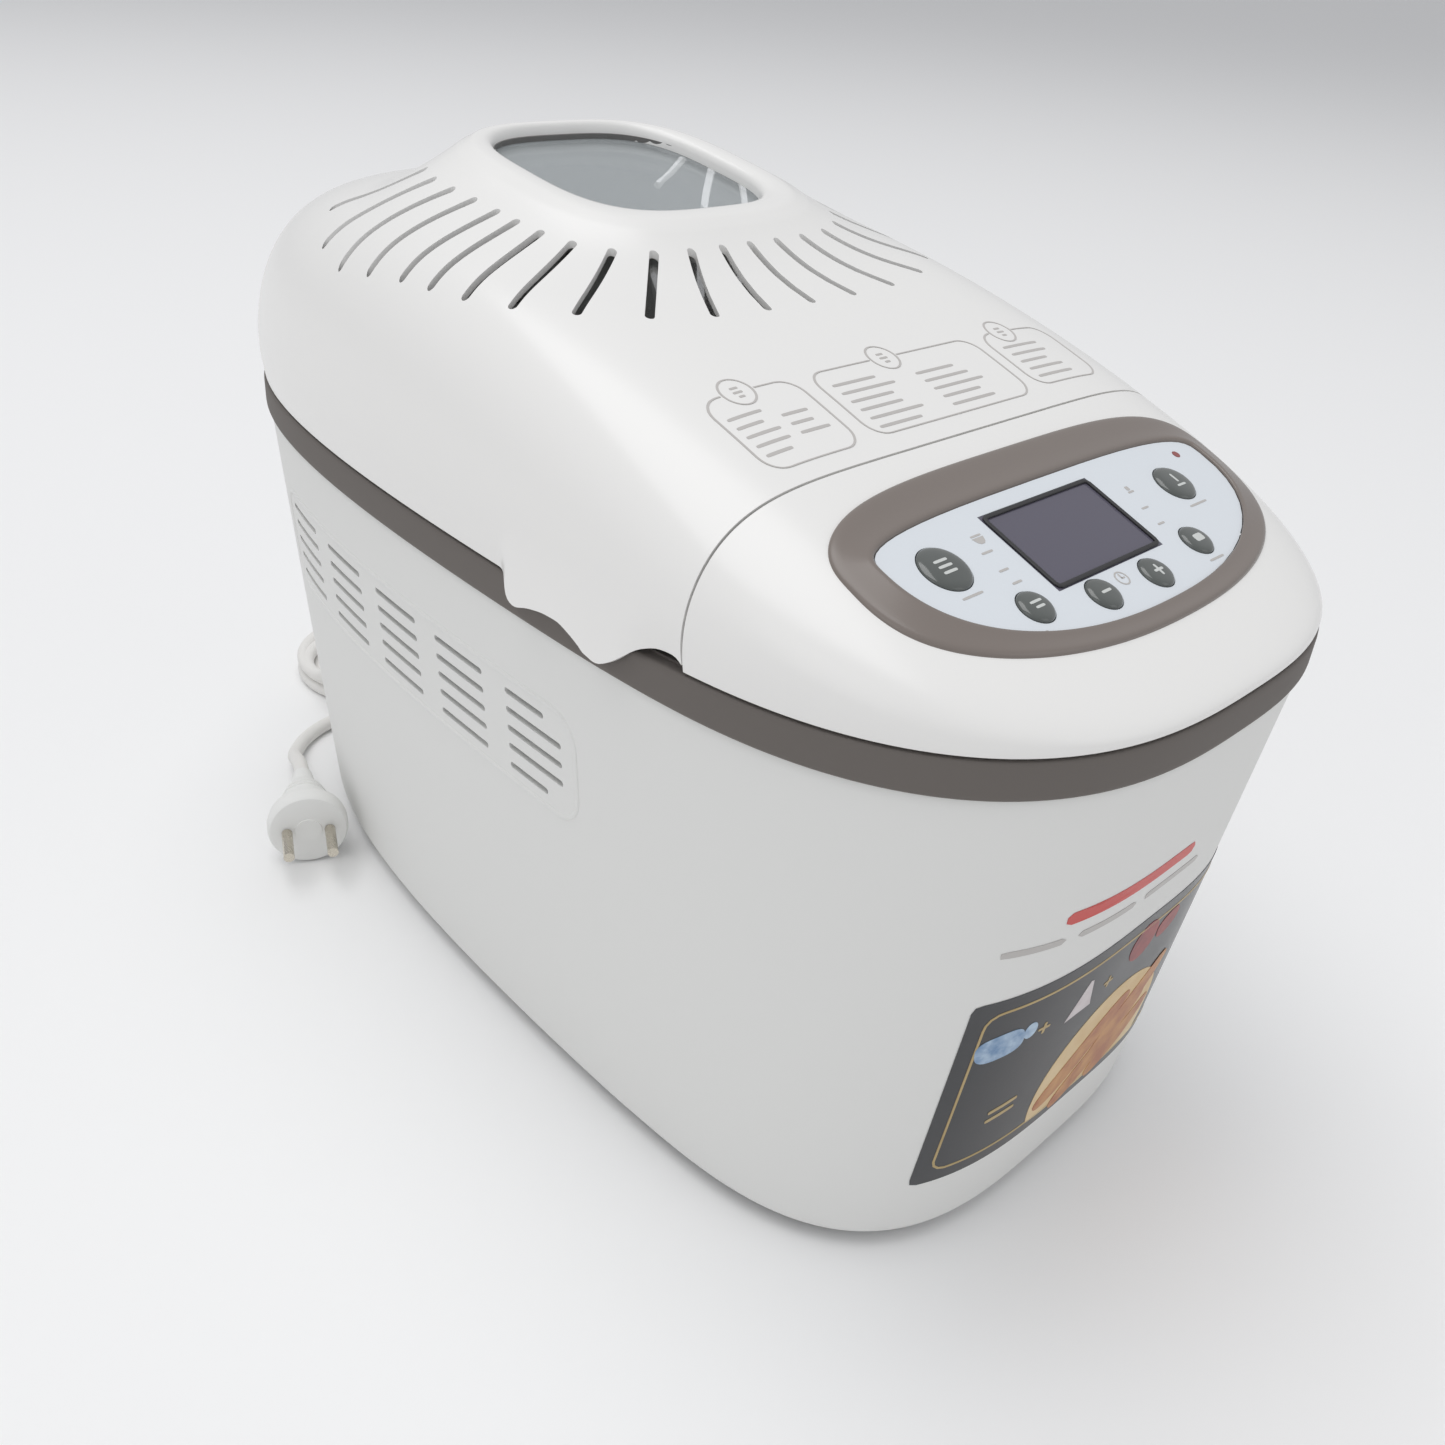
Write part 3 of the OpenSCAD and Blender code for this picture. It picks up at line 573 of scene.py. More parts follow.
        def at(u: Points) -> tuple[Points, Points]:
            foot = self.rear_arc(u, self.foot_half_w, self.foot_rear)
            rim = self.rear_arc(u, self.half_w - 1, self.rear - 1)
            both = mix(foot, rim, np.asarray(k)[..., None])
            return both[..., 0], both[..., 1]

        points = self._on_wall(at, y, y, z, lift, by_x=False)
        return points * [side, 1, 1]

    def _on_wall(self, at: Callable[[Points], tuple[Points, Points]], goal: Points, flat: Points,
                 z: Points, lift: Points | float, by_x: bool) -> Points:
        """Halves the outline angle until its x or y meets the goal, then steps out along the normal."""
        low, high = np.zeros(np.shape(goal)), np.full(np.shape(goal), math.pi / 2)
        for _ in range(30):
            middle = (low + high) / 2
            x, y = at(middle)
            short = x > goal if by_x else y < goal
            low, high = np.where(short, middle, low), np.where(short, high, middle)
        u = (low + high) / 2
        x, y = at(u)
        x1, y1 = at(np.clip(u + 1e-3, 0, math.pi / 2))
        x0, y0 = at(np.clip(u - 1e-3, 0, math.pi / 2))
        nx, ny = (y1 - y0), -(x1 - x0)
        flip = np.where(nx * x + ny * (y - self.widest) < 0, -1.0, 1.0)
        size = np.hypot(nx, ny) * flip
        x, y = x + nx / size * lift, y + ny / size * lift
        if by_x:
            x = np.where(flat < 0, -x, x)
        return np.stack([x, y, np.broadcast_to(z, np.shape(x))], -1)

    # Top surface: height of the lid and the control housing over a point

    def rear_half(self, t: Points) -> Points:
        """Returns the share of the half width at t of the rear: taper(t) (1 - t^4)^0.31."""
        t = np.clip(t, 0, 1)
        return self.taper(t) * (1 - t**4) ** 0.31

    def rho(self, x: Points, y: Points) -> Points:
        """Size of the similar outline through a point, 1 being the lid's own; halving finds it at the rear."""
        ax = np.abs(x) / (self.half_w + 2)
        fy = np.clip(self.widest - y, 0, None) / (self.front + 2)
        front = (ax**self.front_n + fy**self.front_n) ** (1 / self.front_n)
        ry = np.clip(y - self.widest, 1e-6, None) / (self.rear + 2)
        low, high = ry.copy(), np.full(np.shape(ry), 2.0)
        for _ in range(26):
            middle = (low + high) / 2
            small = middle * self.rear_half(ry / middle) < ax
            low, high = np.where(small, middle, low), np.where(small, high, middle)
        return np.where(y <= self.widest, front, (low + high) / 2)

    def ridge(self, y: Points) -> Points:
        """Height along the middle: it rises to the crown by a power of 1.7 and falls behind by one of 2.3."""
        past = np.clip(y - self.crown, 0, None) / (self.widest + self.rear - self.crown)
        behind = self.crown_z - self.back_drop * past ** 2.3
        short = np.clip(self.crown - y, 0, None) / (self.crown - self.seam)
        ahead = self.crown_z - (self.crown_z - self.seam_z) * short ** 1.7
        panel = self.seam_z + math.tan(math.radians(19.5)) * (y - self.seam)
        return np.where(y > self.crown, behind, np.where(y > self.seam, ahead, panel))

    def collar_z(self, y: Points) -> Points:
        """Returns the height of the window collar's top at y."""
        return self.window_z + self.window_slope * (y - 64)

    def top(self, x: Points, y: Points) -> Points:
        """Height of the top: shoulders h^2.4 + rho^7 = 1 over the ridge, and the collar's flare.

        Args:
            x: Places across.
            y: Places along.

        Returns:
            Heights.
        """
        shoulder = (1 - np.clip(self.rho(x, y), 0, 1) ** 7) ** (1 / 2.4)
        plain = self.lid_low + (self.ridge(y) - self.lid_low) * shoulder
        r = ((np.abs(x) / self.hood_x) ** self.hood_n
             + (np.abs(y - self.hood) / self.hood_y) ** self.hood_n) ** (1 / self.hood_n)
        flare = (1 - np.clip((r - 1) / 0.7, 0, 1)) ** 2.2
        return plain + np.where(y < self.seam, 0, np.clip(self.collar_z(y) - plain, 0, None) * flare)

    def on_top(self, xy: Points, lift: Points | float = 0.0) -> Points:
        """Returns plan points lifted on to the top surface."""
        return np.concatenate([xy, (self.top(xy[..., 0], xy[..., 1]) + lift)[..., None]], -1)

    def collar(self, plan: Points, rx: float, ry: float, centre: float) -> Points:
        """Loop round the window that keeps each point's direction from the hood's centre.

        Args:
            plan: Outline whose directions are kept.
            rx: Half width of the loop.
            ry: Half length of the loop.
            centre: Its place along y.

        Returns:
            Points of shape (n, 2).
        """
        a = np.arctan2(plan[:, 1] - self.hood, plan[:, 0])
        k = ((np.abs(np.cos(a)) / rx) ** self.hood_n + (np.abs(np.sin(a)) / ry) ** self.hood_n) ** (
            -1 / self.hood_n)
        return np.stack([k * np.cos(a), centre + k * np.sin(a)], 1)

    def shell_rows(self, ears: bool) -> Points:
        """Rings of the lid and control housing, from the lower edge to the window.

        The side follows rho = cos^(2/7) a and h = sin^(2/2.4) a, tucked in by up to 2 mm at the lower
        edge. Past rho 0.86 the rings change evenly into the collar's loop, and their height is that of
        the top surface.

        Args:
            ears: Draws the lower edge out and down into the lifting ears.

        Returns:
            Grid of points.
        """
        base = self.ring(self.half_w + 2, self.front + 2, self.rear + 2, self.front_n, 1e9)
        angle = np.linspace(0, 1, 30)[:, None] ** 1.15 * math.acos(0.86**3.5)
        centre = np.array([0, self.widest])
        plan = centre + (np.cos(angle) ** (2 / 7))[..., None] * (base - centre)
        side_z = self.lid_low + (self.ridge(plan[..., 1]) - self.lid_low) * np.sin(angle) ** (2 / 2.4)
        tuck = 2.0 * (1 - np.clip((side_z - self.lid_low) / 22, 0, 1)) ** 2
        out = np.stack([np.roll(base, -1, 0)[:, 1] - np.roll(base, 1, 0)[:, 1],
                        np.roll(base, 1, 0)[:, 0] - np.roll(base, -1, 0)[:, 0]], 1)
        out /= np.linalg.norm(out, axis=1, keepdims=True)
        plan = plan - tuck[..., None] * out
        plan[..., 1] = plan[..., 1].clip(max=self.back)
        side = np.concatenate([plan, side_z[..., None]], -1)
        if ears:
            side = self.with_ears(side, out)
        wide = self.collar(plan[-1], self.hood_x * 1.5, self.hood_y * 1.5, self.hood)
        between = mix(plan[-1], wide, np.linspace(0, 1, 26)[1:, None, None])
        flank = [self.collar(plan[-1], self.hood_x * k, self.hood_y * k, self.hood)
                 for k in np.linspace(1.5, 1.06, 16)[1:]]
        surface = self.on_top(np.concatenate([between, np.stack(flank)]))
        return np.concatenate([side, surface, self.collar_rows(plan[-1])])

    def collar_rows(self, plan: Points) -> Points:
        """Rounded top of the window collar: its sections go from the flank over the rim and down inside.

        Each row is (share of the way in, depth under the collar's top).
        """
        rows = [(0.02, 0.75), (0.10, 0.28), (0.22, 0.05), (0.40, 0.0), (0.58, 0.08), (0.74, 0.4),
                (0.88, 1.3), (0.96, 2.4), (1.0, 3.8), (1.02, 6.0)]
        rings = []
        for share, depth in rows:
            loop = self.collar(plan, mix(self.hood_x, self.pane_x, share),
                               mix(self.hood_y, self.pane_y, share), mix(self.hood, self.pane, share))
            rings.append(np.concatenate([loop, (self.collar_z(loop[:, 1]) - depth)[:, None]], 1))
        return np.stack(rings)

    def with_ears(self, side: Points, out: Points) -> Points:
        """Draws the lid's lower edge into an ear on each side.

        The lower edge follows listed heights and reaches along the wall; both fade out over 19 mm.

        Args:
            side: Rows of the lid's side, the lowest first.
            out: Outward directions of the columns in plan.

        Returns:
            The changed rows.
        """
        y = side[0, :, 1]
        edge_y = [-119.5, -116, -110, -104, -97, -91, -86, -79, -72, -64, -56, -50, -45, -41, -37]
        edge_z = [216.5, 217.3, 217.0, 214.6, 208.5, 204.8, 205.2, 208.6, 210.8, 210.6, 209, 206.6, 208,
                  212.6, self.lid_low]
        reach = [0, 0, 0.4, 2.0, 4.4, 5.0, 5.0, 4.8, 4.6, 4.7, 4.9, 5.0, 4.7, 2.4, 0]
        far = np.abs(side[0, :, 0]) > 60
        edge = np.where(far, np.interp(y, edge_y, edge_z, left=self.lid_low), self.lid_low)
        push = np.where(far, np.interp(y, edge_y, reach), 0)
        for _ in range(2):
            edge = (np.roll(edge, 1) + 2 * edge + np.roll(edge, -1)) / 4
            push = (np.roll(push, 1) + 2 * push + np.roll(push, -1)) / 4
        rise = np.clip((side[..., 2] - self.lid_low) / self.ear_rise, 0, 1)
        moved = side.copy()
        moved[..., 2] += (edge - self.lid_low) * (1 - rise) ** 1.5
        moved[..., :2] += (push * (1 - rise) ** 1.9)[..., None] * out
        return moved

    # Control panel

    def on_panel(self, local: Points, lift: Points | float = 0.0) -> Points:
        """Points of the control panel's plane, tilted by 20.6 degrees about its reference point.

        Args:
            local: Points with a last axis of 2, across and up the slope.
            lift: Distance out of the plane.

        Returns:
            Points with a last axis of 3.
        """
        s, c = math.sin(PANEL_TILT), math.cos(PANEL_TILT)
        x, v = local[..., 0], local[..., 1]
        return np.stack([x, PANEL_Y + v * c - lift * s, PANEL_Z + v * s + lift * c], -1)


PANEL_TILT = math.radians(20.6)
PANEL_Y = -170.0
PANEL_Z = 241.0
PANEL_MID = 15.0


def panel_loop(half_w: float, front: float, back: float, count: int = 220) -> Points:
    """Outline of the control panel: a square back edge and a bowed front edge, meeting at the sides.

    Args:
        half_w: Half width.
        front: Reach down the slope.
        back: Reach up the slope.
        count: Number of points.

    Returns:
        Points of shape (count, 2) in the panel's plane.
    """
    a = np.arange(count) * FULL_TURN / count
    s, c = np.sin(a), np.cos(a)
    n = np.where(s < 0, 2.3, 3.4)
    y = np.where(s < 0, front, back) * signed_power(s, 2 / n) + PANEL_MID
    return np.stack([half_w * signed_power(c, 2 / n), y], 1)


# --- Finishes ---


def group_socket(tree: bpy.types.NodeTree, name: str, kind: str, default: float | tuple | None = None,
                 output: bool = False) -> None:
    """Adds a named socket to a shader group.

    Args:
        tree: The group.
        name: Name of the socket.
        kind: Float or Color.
        default: Its starting value.
        output: Makes an output in place of an input.
    """
    made = tree.interface.new_socket(name, in_out="OUTPUT" if output else "INPUT",
                                     socket_type="NodeSocket" + kind)
    if default is not None:
        made.default_value = default


def start_group(name: str, inputs: Sequence[tuple[str, str, float | tuple]]) -> bpy.types.NodeTree:
    """Makes a shader group with its inputs and the outputs Color, Roughness and Height.

    Args:
        name: Name of the group.
        inputs: Name, kind and starting value of each input.

    Returns:
        The group, with its sockets and no nodes.
    """
    tree = bpy.data.node_groups.new(name, "ShaderNodeTree")
    for socket, kind, default in inputs:
        group_socket(tree, socket, kind, default)
    for socket, kind in (("Color", "Color"), ("Roughness", "Float"), ("Height", "Float")):
        group_socket(tree, socket, kind, output=True)
    return tree


class Nodes:
    """Short calls for adding and joining shader nodes in one tree."""

    def __init__(self, tree: bpy.types.NodeTree) -> None:
        """Keeps the tree."""
        self.tree = tree

    def add(self, kind: str, **settings: object) -> bpy.types.Node:
        """Adds a node and sets its properties; a name that starts with in_ sets an input by number."""
        prefix = "Node" if kind in ("GroupInput", "GroupOutput") else "ShaderNode"
        node = self.tree.nodes.new(prefix + kind)
        for key, value in settings.items():
            if key.startswith("in_"):
                self.feed(node.inputs[int(key[3:])], value)
            else:
                setattr(node, key, value)
        return node

    def feed(self, socket: bpy.types.NodeSocket, value: object) -> None:
        """Links a socket to the one given, or sets its value."""
        if isinstance(value, bpy.types.NodeSocket):
            self.tree.links.new(value, socket)
        else:
            socket.default_value = value

    def math(self, operation: str, a: object, b: object = 0.0, clamp: bool = False) -> bpy.types.NodeSocket:
        """Returns the result of one operation on two values."""
        return self.add("Math", operation=operation, use_clamp=clamp, in_0=a, in_1=b).outputs[0]

    def noise(self, vector: object, scale: object, detail: float = 3.0,
              rough: float = 0.55) -> bpy.types.NodeSocket:
        """Returns a noise value at a scale."""
        node = self.add("TexNoise")
        self.feed(node.inputs["Vector"], vector)
        self.feed(node.inputs["Scale"], scale)
        node.inputs["Detail"].default_value = detail
        node.inputs["Roughness"].default_value = rough
        return node.outputs["Fac"]

    def blend(self, share: object, a: object, b: object) -> bpy.types.NodeSocket:
        """Returns a colour between two."""
        node = self.add("Mix", data_type="RGBA")
        self.feed(node.inputs[0], share)
        self.feed(node.inputs[6], a)
        self.feed(node.inputs[7], b)
        return node.outputs[2]

    def ramp(self, value: object, low: float, high: float) -> bpy.types.NodeSocket:
        """Returns a value stretched from low..high to 0..1."""
        node = self.add("MapRange")
        self.feed(node.inputs[0], value)
        node.inputs[1].default_value = low
        node.inputs[2].default_value = high
        return node.outputs[0]


def moulded_group() -> bpy.types.NodeTree:
    """Shared moulded or painted surface: soft mottling, dust in patches, fine grain and sparse scuffs.

    Returns:
        The group; its outputs are Color, Roughness and Height.
    """
    found = bpy.data.node_groups.get("moulded_surface")
    if found:
        return found
    tree = start_group("moulded_surface", [
        ("Base", "Color", (0.8, 0.8, 0.8, 1)), ("Shade", "Color", (0.7, 0.7, 0.7, 1)),
        ("Patch size", "Float", 8.0), ("Patches", "Float", 0.3), ("Grain size", "Float", 900.0),
        ("Grain", "Float", 0.5), ("Gloss", "Float", 0.3), ("Gloss change", "Float", 0.1),
        ("Scuffs", "Float", 0.1)])
    n = Nodes(tree)
    into = n.add("GroupInput").outputs
    out = n.add("GroupOutput").inputs
    where = n.add("TexCoord").outputs["Object"]
    patches = n.ramp(n.noise(where, into["Patch size"], 4.0), 0.35, 0.7)
    fine = n.noise(where, into["Grain size"], 2.0)
    speck = n.math("GREATER_THAN", n.noise(where, 260.0, 1.0, 0.4), 0.735)
    stretched = n.add("Mapping", in_0=where)
    stretched.inputs["Scale"].default_value = (1.0, 0.12, 0.35)
    stretched.inputs["Rotation"].default_value = (0.2, 0.1, 0.5)
    scuff = n.math("MULTIPLY", n.ramp(n.noise(stretched.outputs[0], 210.0, 2.0, 0.7), 0.66, 0.74),
                   n.ramp(n.noise(where, 17.0, 1.0), 0.5, 0.65))
    share = n.math("ADD", n.math("MULTIPLY", patches, into["Patches"]),
                   n.math("MULTIPLY", speck, n.math("MULTIPLY", into["Scuffs"], 1.6)), clamp=True)
    n.feed(out["Color"], n.blend(share, into["Base"], into["Shade"]))
    rough = n.math("ADD", into["Gloss"], n.math("MULTIPLY", n.math("SUBTRACT", patches, 0.5),
                                                into["Gloss change"]))
    rough = n.math("ADD", rough, n.math("MULTIPLY", scuff, into["Scuffs"]), clamp=True)
    n.feed(out["Roughness"], rough)
    height = n.math("SUBTRACT", n.math("MULTIPLY", fine, into["Grain"]),
                    n.math("MULTIPLY", scuff, n.math("MULTIPLY", into["Scuffs"], 1.5)))
    n.feed(out["Height"], height)
    return tree


def brushed_group() -> bpy.types.NodeTree:
    """Shared metal surface: long fine lines along one axis, with cloudy stains.

    Returns:
        The group; its outputs are Color, Roughness and Height.
    """
    found = bpy.data.node_groups.get("brushed_metal")
    if found:
        return found
    tree = start_group("brushed_metal", [
        ("Base", "Color", (0.6, 0.6, 0.6, 1)), ("Stain", "Color", (0.4, 0.35, 0.3, 1)),
        ("Stains", "Float", 0.3), ("Line size", "Float", 700.0), ("Lines", "Float", 0.5),
        ("Gloss", "Float", 0.3)])
    n = Nodes(tree)
    into = n.add("GroupInput").outputs
    out = n.add("GroupOutput").inputs
    where = n.add("TexCoord").outputs["Object"]
    drawn = n.add("Mapping", in_0=where)
    drawn.inputs["Scale"].default_value = (1.0, 0.03, 1.0)
    lines = n.noise(drawn.outputs[0], into["Line size"], 2.0)
    cloud = n.ramp(n.noise(where, 22.0, 4.0), 0.45, 0.75)
    n.feed(out["Color"], n.blend(n.math("MULTIPLY", cloud, into["Stains"]), into["Base"], into["Stain"]))
    spread = n.math("MULTIPLY", n.math("SUBTRACT", lines, 0.5), 0.25)
    n.feed(out["Roughness"], n.math("ADD", n.math("ADD", into["Gloss"], spread),
                                    n.math("MULTIPLY", cloud, 0.12), clamp=True))
    n.feed(out["Height"], n.math("MULTIPLY", lines, into["Lines"]))
    return tree


Colour = tuple[float, float, float]


def start_material(name: str, seen: tuple[float, ...]) -> tuple[bpy.types.Material, bpy.types.Node]:
    """Makes a material on the Principled shader.

    Args:
        name: Name of the material.
        seen: Red, green, blue and opacity of its plain preview.

    Returns:
        The material and its shader.
    """
    made = bpy.data.materials.new(name)
    made.use_nodes = True
    made.diffuse_color = seen
    return made, made.node_tree.nodes["Principled BSDF"]


@dataclass(frozen=True)
class Finish:
    """A moulded, painted or printed finish on the Principled shader."""

    name: str
    base: Colour
    shade: Colour
    gloss: float
    gloss_change: float = 0.08
    patches: float = 0.25
    patch_size: float = 9.0
    grain: float = 0.3
    grain_size: float = 900.0
    scuffs: float = 0.05
    bump: float = 0.08
    metallic: float = 0.0
    coat: float = 0.0
    coat_gloss: float = 0.08
    ior: float = 1.5

    def material(self) -> bpy.types.Material:
        """Returns the finish's material, made on first use."""
        found = bpy.data.materials.get(self.name)
        if found:
            return found
        made, shader = start_material(self.name, (*self.base, 1))
        n = Nodes(made.node_tree)
        group = self.surface(n)
        n.feed(shader.inputs["Base Color"], group.outputs["Color"])
        n.feed(shader.inputs["Roughness"], group.outputs["Roughness"])
        bump = n.add("Bump")
        bump.inputs["Strength"].default_value = self.bump
        bump.inputs["Distance"].default_value = 0.0006
        n.feed(bump.inputs["Height"], group.outputs["Height"])
        n.feed(shader.inputs["Normal"], bump.outputs[0])
        shader.inputs["Metallic"].default_value = self.metallic
        shader.inputs["Coat Weight"].default_value = self.coat
        shader.inputs["Coat Roughness"].default_value = self.coat_gloss
        shader.inputs["IOR"].default_value = self.ior
        return made

    def surface(self, n: Nodes) -> bpy.types.Node:
        """Places the moulded surface group with this finish's values."""
        group = n.add("Group", node_tree=moulded_group())
        values = {"Base": (*self.base, 1), "Shade": (*self.shade, 1), "Patch size": self.patch_size,
                  "Patches": self.patches, "Grain size": self.grain_size, "Grain": self.grain,
                  "Gloss": self.gloss, "Gloss change": self.gloss_change, "Scuffs": self.scuffs}
        for name, value in values.items():
            group.inputs[name].default_value = value
        return group


@dataclass(frozen=True)
class Metal(Finish):
    """A drawn, pressed or cast metal."""

    metallic: float = 1.0
    lines: float = 0.5
    line_size: float = 700.0

    def surface(self, n: Nodes) -> bpy.types.Node:
        """Places the brushed metal group with this finish's values."""
        group = n.add("Group", node_tree=brushed_group())
        values = {"Base": (*self.base, 1), "Stain": (*self.shade, 1), "Stains": self.patches,
                  "Line size": self.line_size, "Lines": self.lines, "Gloss": self.gloss}
        for name, value in values.items():
            group.inputs[name].default_value = value
        return group


@dataclass(frozen=True)
class Glass:
    """Tinted glass with a faint play of colour on its face."""

    name: str
    tint: Colour
    cloud: Colour
    clear: float = 0.55
    gloss: float = 0.06

    def material(self) -> bpy.types.Material:
        """Returns the glass material, made on first use."""
        found = bpy.data.materials.get(self.name)
        if found:
            return found
        made, shader = start_material(self.name, (*self.tint, 0.6))
        n = Nodes(made.node_tree)
        where = n.add("TexCoord").outputs["Object"]
        cloud = n.ramp(n.noise(where, 26.0, 3.0), 0.35, 0.7)
        swirl = n.ramp(n.noise(where, 55.0, 2.0), 0.45, 0.65)
        tint = n.blend(cloud, (*self.tint, 1), (*self.cloud, 1))
        n.feed(shader.inputs["Base Color"], n.blend(n.math("MULTIPLY", swirl, 0.35), tint,
                                                    (0.52, 0.47, 0.44, 1)))
        n.feed(shader.inputs["Roughness"], n.math("ADD", n.math("MULTIPLY", cloud, 0.05), self.gloss))
        shader.inputs["Transmission Weight"].default_value = self.clear
        shader.inputs["IOR"].default_value = 1.5
        shader.inputs["Coat Weight"].default_value = 0.6
        return made


class Finishes:
    """Every finish of the machine."""

    gloss = Finish("gloss_white", (0.80, 0.785, 0.765), (0.76, 0.745, 0.725), 0.24, grain=0.12,
                   scuffs=0.16, coat=0.35, bump=0.05)
    # The casing's white is set darker than the lid's, though both are one white plastic: painted shade of the
    # upright casing walls.
    casing = Finish("casing_white", (0.665, 0.66, 0.64), (0.62, 0.615, 0.597), 0.42, grain=0.8,
                    grain_size=1500, bump=0.16, scuffs=0.12)
    band = Finish("band_taupe", (0.122, 0.105, 0.098), (0.10, 0.086, 0.08), 0.34, grain=0.5, bump=0.12)
    bezel = Finish("bezel_taupe", (0.175, 0.148, 0.134), (0.155, 0.13, 0.118), 0.14, grain=0.08, coat=0.6,
                   scuffs=0.14, bump=0.04)
    fascia = Finish("fascia_film", (0.76, 0.80, 0.84), (0.73, 0.77, 0.815), 0.34, grain=0.5, bump=0.06)
    display = Finish("display_glass", (0.098, 0.092, 0.122), (0.14, 0.145, 0.205), 0.09, patches=0.8,
                     patch_size=34, grain=0.0, coat=0.7, scuffs=0.02, bump=0.02)
    key = Finish("key_grey", (0.105, 0.115, 0.108), (0.07, 0.078, 0.074), 0.2, coat=0.7, patches=0.6,
                 patch_size=60, grain=0.2, bump=0.05)
    lamp = Finish("lamp_lens", (0.30, 0.05, 0.045), (0.18, 0.03, 0.03), 0.15, coat=0.6)
    print_grey = Finish("print_grey", (0.52, 0.50, 0.48), (0.60, 0.58, 0.56), 0.4, grain=0.3)
    print_pale = Finish("print_pale", (0.66, 0.68, 0.66), (0.55, 0.57, 0.55), 0.35, grain=0.3)
    print_red = Finish("print_red", (0.62, 0.06, 0.05), (0.55, 0.05, 0.045), 0.35, grain=0.3)
    card = Finish("label_card", (0.022, 0.024, 0.028), (0.045, 0.046, 0.05), 0.36, patches=0.6,
                  patch_size=30, coat=0.25, scuffs=0.08)
    card_gold = Finish("label_gold", (0.50, 0.37, 0.17), (0.38, 0.27, 0.11), 0.35, patches=0.6,
                       patch_size=80)
    card_cream = Finish("label_cream", (0.78, 0.60, 0.34), (0.66, 0.44, 0.19), 0.4, patches=0.8,
                        patch_size=45)
    card_loaf = Finish("label_loaf", (0.42, 0.135, 0.045), (0.62, 0.33, 0.13), 0.4, patches=1.0,
                       patch_size=120)
    card_blue = Finish("label_blue", (0.10, 0.22, 0.42), (0.55, 0.68, 0.8), 0.4, patches=1.0,
                       patch_size=130)
    card_paper = Finish("label_paper", (0.62, 0.55, 0.56), (0.78, 0.74, 0.74), 0.4, patches=0.8,
                        patch_size=120)
    card_fruit = Finish("label_fruit", (0.20, 0.02, 0.025), (0.42, 0.10, 0.09), 0.4, patches=1.0,
                        patch_size=110)
    dark = Finish("dark_moulding", (0.028, 0.028, 0.03), (0.05, 0.05, 0.052), 0.5, grain=0.6, bump=0.15)
    rubber = Finish("black_rubber", (0.03, 0.03, 0.031), (0.055, 0.053, 0.05), 0.7, grain=0.8, bump=0.2)
    seal = Finish("grey_silicone", (0.17, 0.165, 0.16), (0.22, 0.215, 0.21), 0.55, grain=0.4)
    nylon = Finish("ivory_nylon", (0.72, 0.68, 0.58), (0.64, 0.60, 0.50), 0.42, grain=0.3)
    board = Finish("circuit_board", (0.03, 0.13, 0.055), (0.05, 0.19, 0.08), 0.4, patches=0.8,
                   patch_size=180)
    lead = Finish("lead_white", (0.72, 0.715, 0.70), (0.64, 0.635, 0.62), 0.42, grain=0.4, bump=0.1)
    plug = Finish("plug_white", (0.75, 0.745, 0.735), (0.68, 0.675, 0.665), 0.34, grain=0.3)
    oven = Metal("oven_aluminised", (0.62, 0.62, 0.61), (0.50, 0.47, 0.42), 0.34, patches=0.45, bump=0.05)
    sheet = Metal("zinc_sheet", (0.55, 0.56, 0.56), (0.42, 0.42, 0.41), 0.42, patches=0.4, bump=0.06)
    shaft = Metal("turned_steel", (0.60, 0.60, 0.60), (0.46, 0.44, 0.42), 0.25, patches=0.3, bump=0.05)
    element = Metal("element_sheath", (0.17, 0.145, 0.14), (0.09, 0.075, 0.07), 0.5, patches=0.8, bump=0.08)
    cast = Metal("cast_bearing", (0.40, 0.39, 0.38), (0.28, 0.27, 0.26), 0.55, patches=0.6, lines=1.5,
                 line_size=1600, bump=0.2)
    motor = Metal("motor_laminations", (0.30, 0.30, 0.31), (0.17, 0.16, 0.15), 0.48, patches=0.5, bump=0.1)
    brass = Metal("nickel_pins", (0.62, 0.58, 0.50), (0.48, 0.42, 0.32), 0.26, patches=0.3, bump=0.04)
    pan = Finish("pan_coating", (0.075, 0.069, 0.066), (0.115, 0.108, 0.103), 0.38, patches=0.5,
                 patch_size=420, grain=0.9, grain_size=1400, bump=0.14, metallic=0.25)
    paddle = Finish("paddle_coating", (0.065, 0.06, 0.058), (0.10, 0.094, 0.09), 0.36, patches=0.5,
                    patch_size=420, grain=0.9, grain_size=1400, bump=0.14, metallic=0.25)
    window = Glass("window_glass", (0.33, 0.345, 0.335), (0.44, 0.45, 0.45))
    inner_window = Glass("inner_window_glass", (0.60, 0.62, 0.61), (0.66, 0.67, 0.67), clear=0.85)


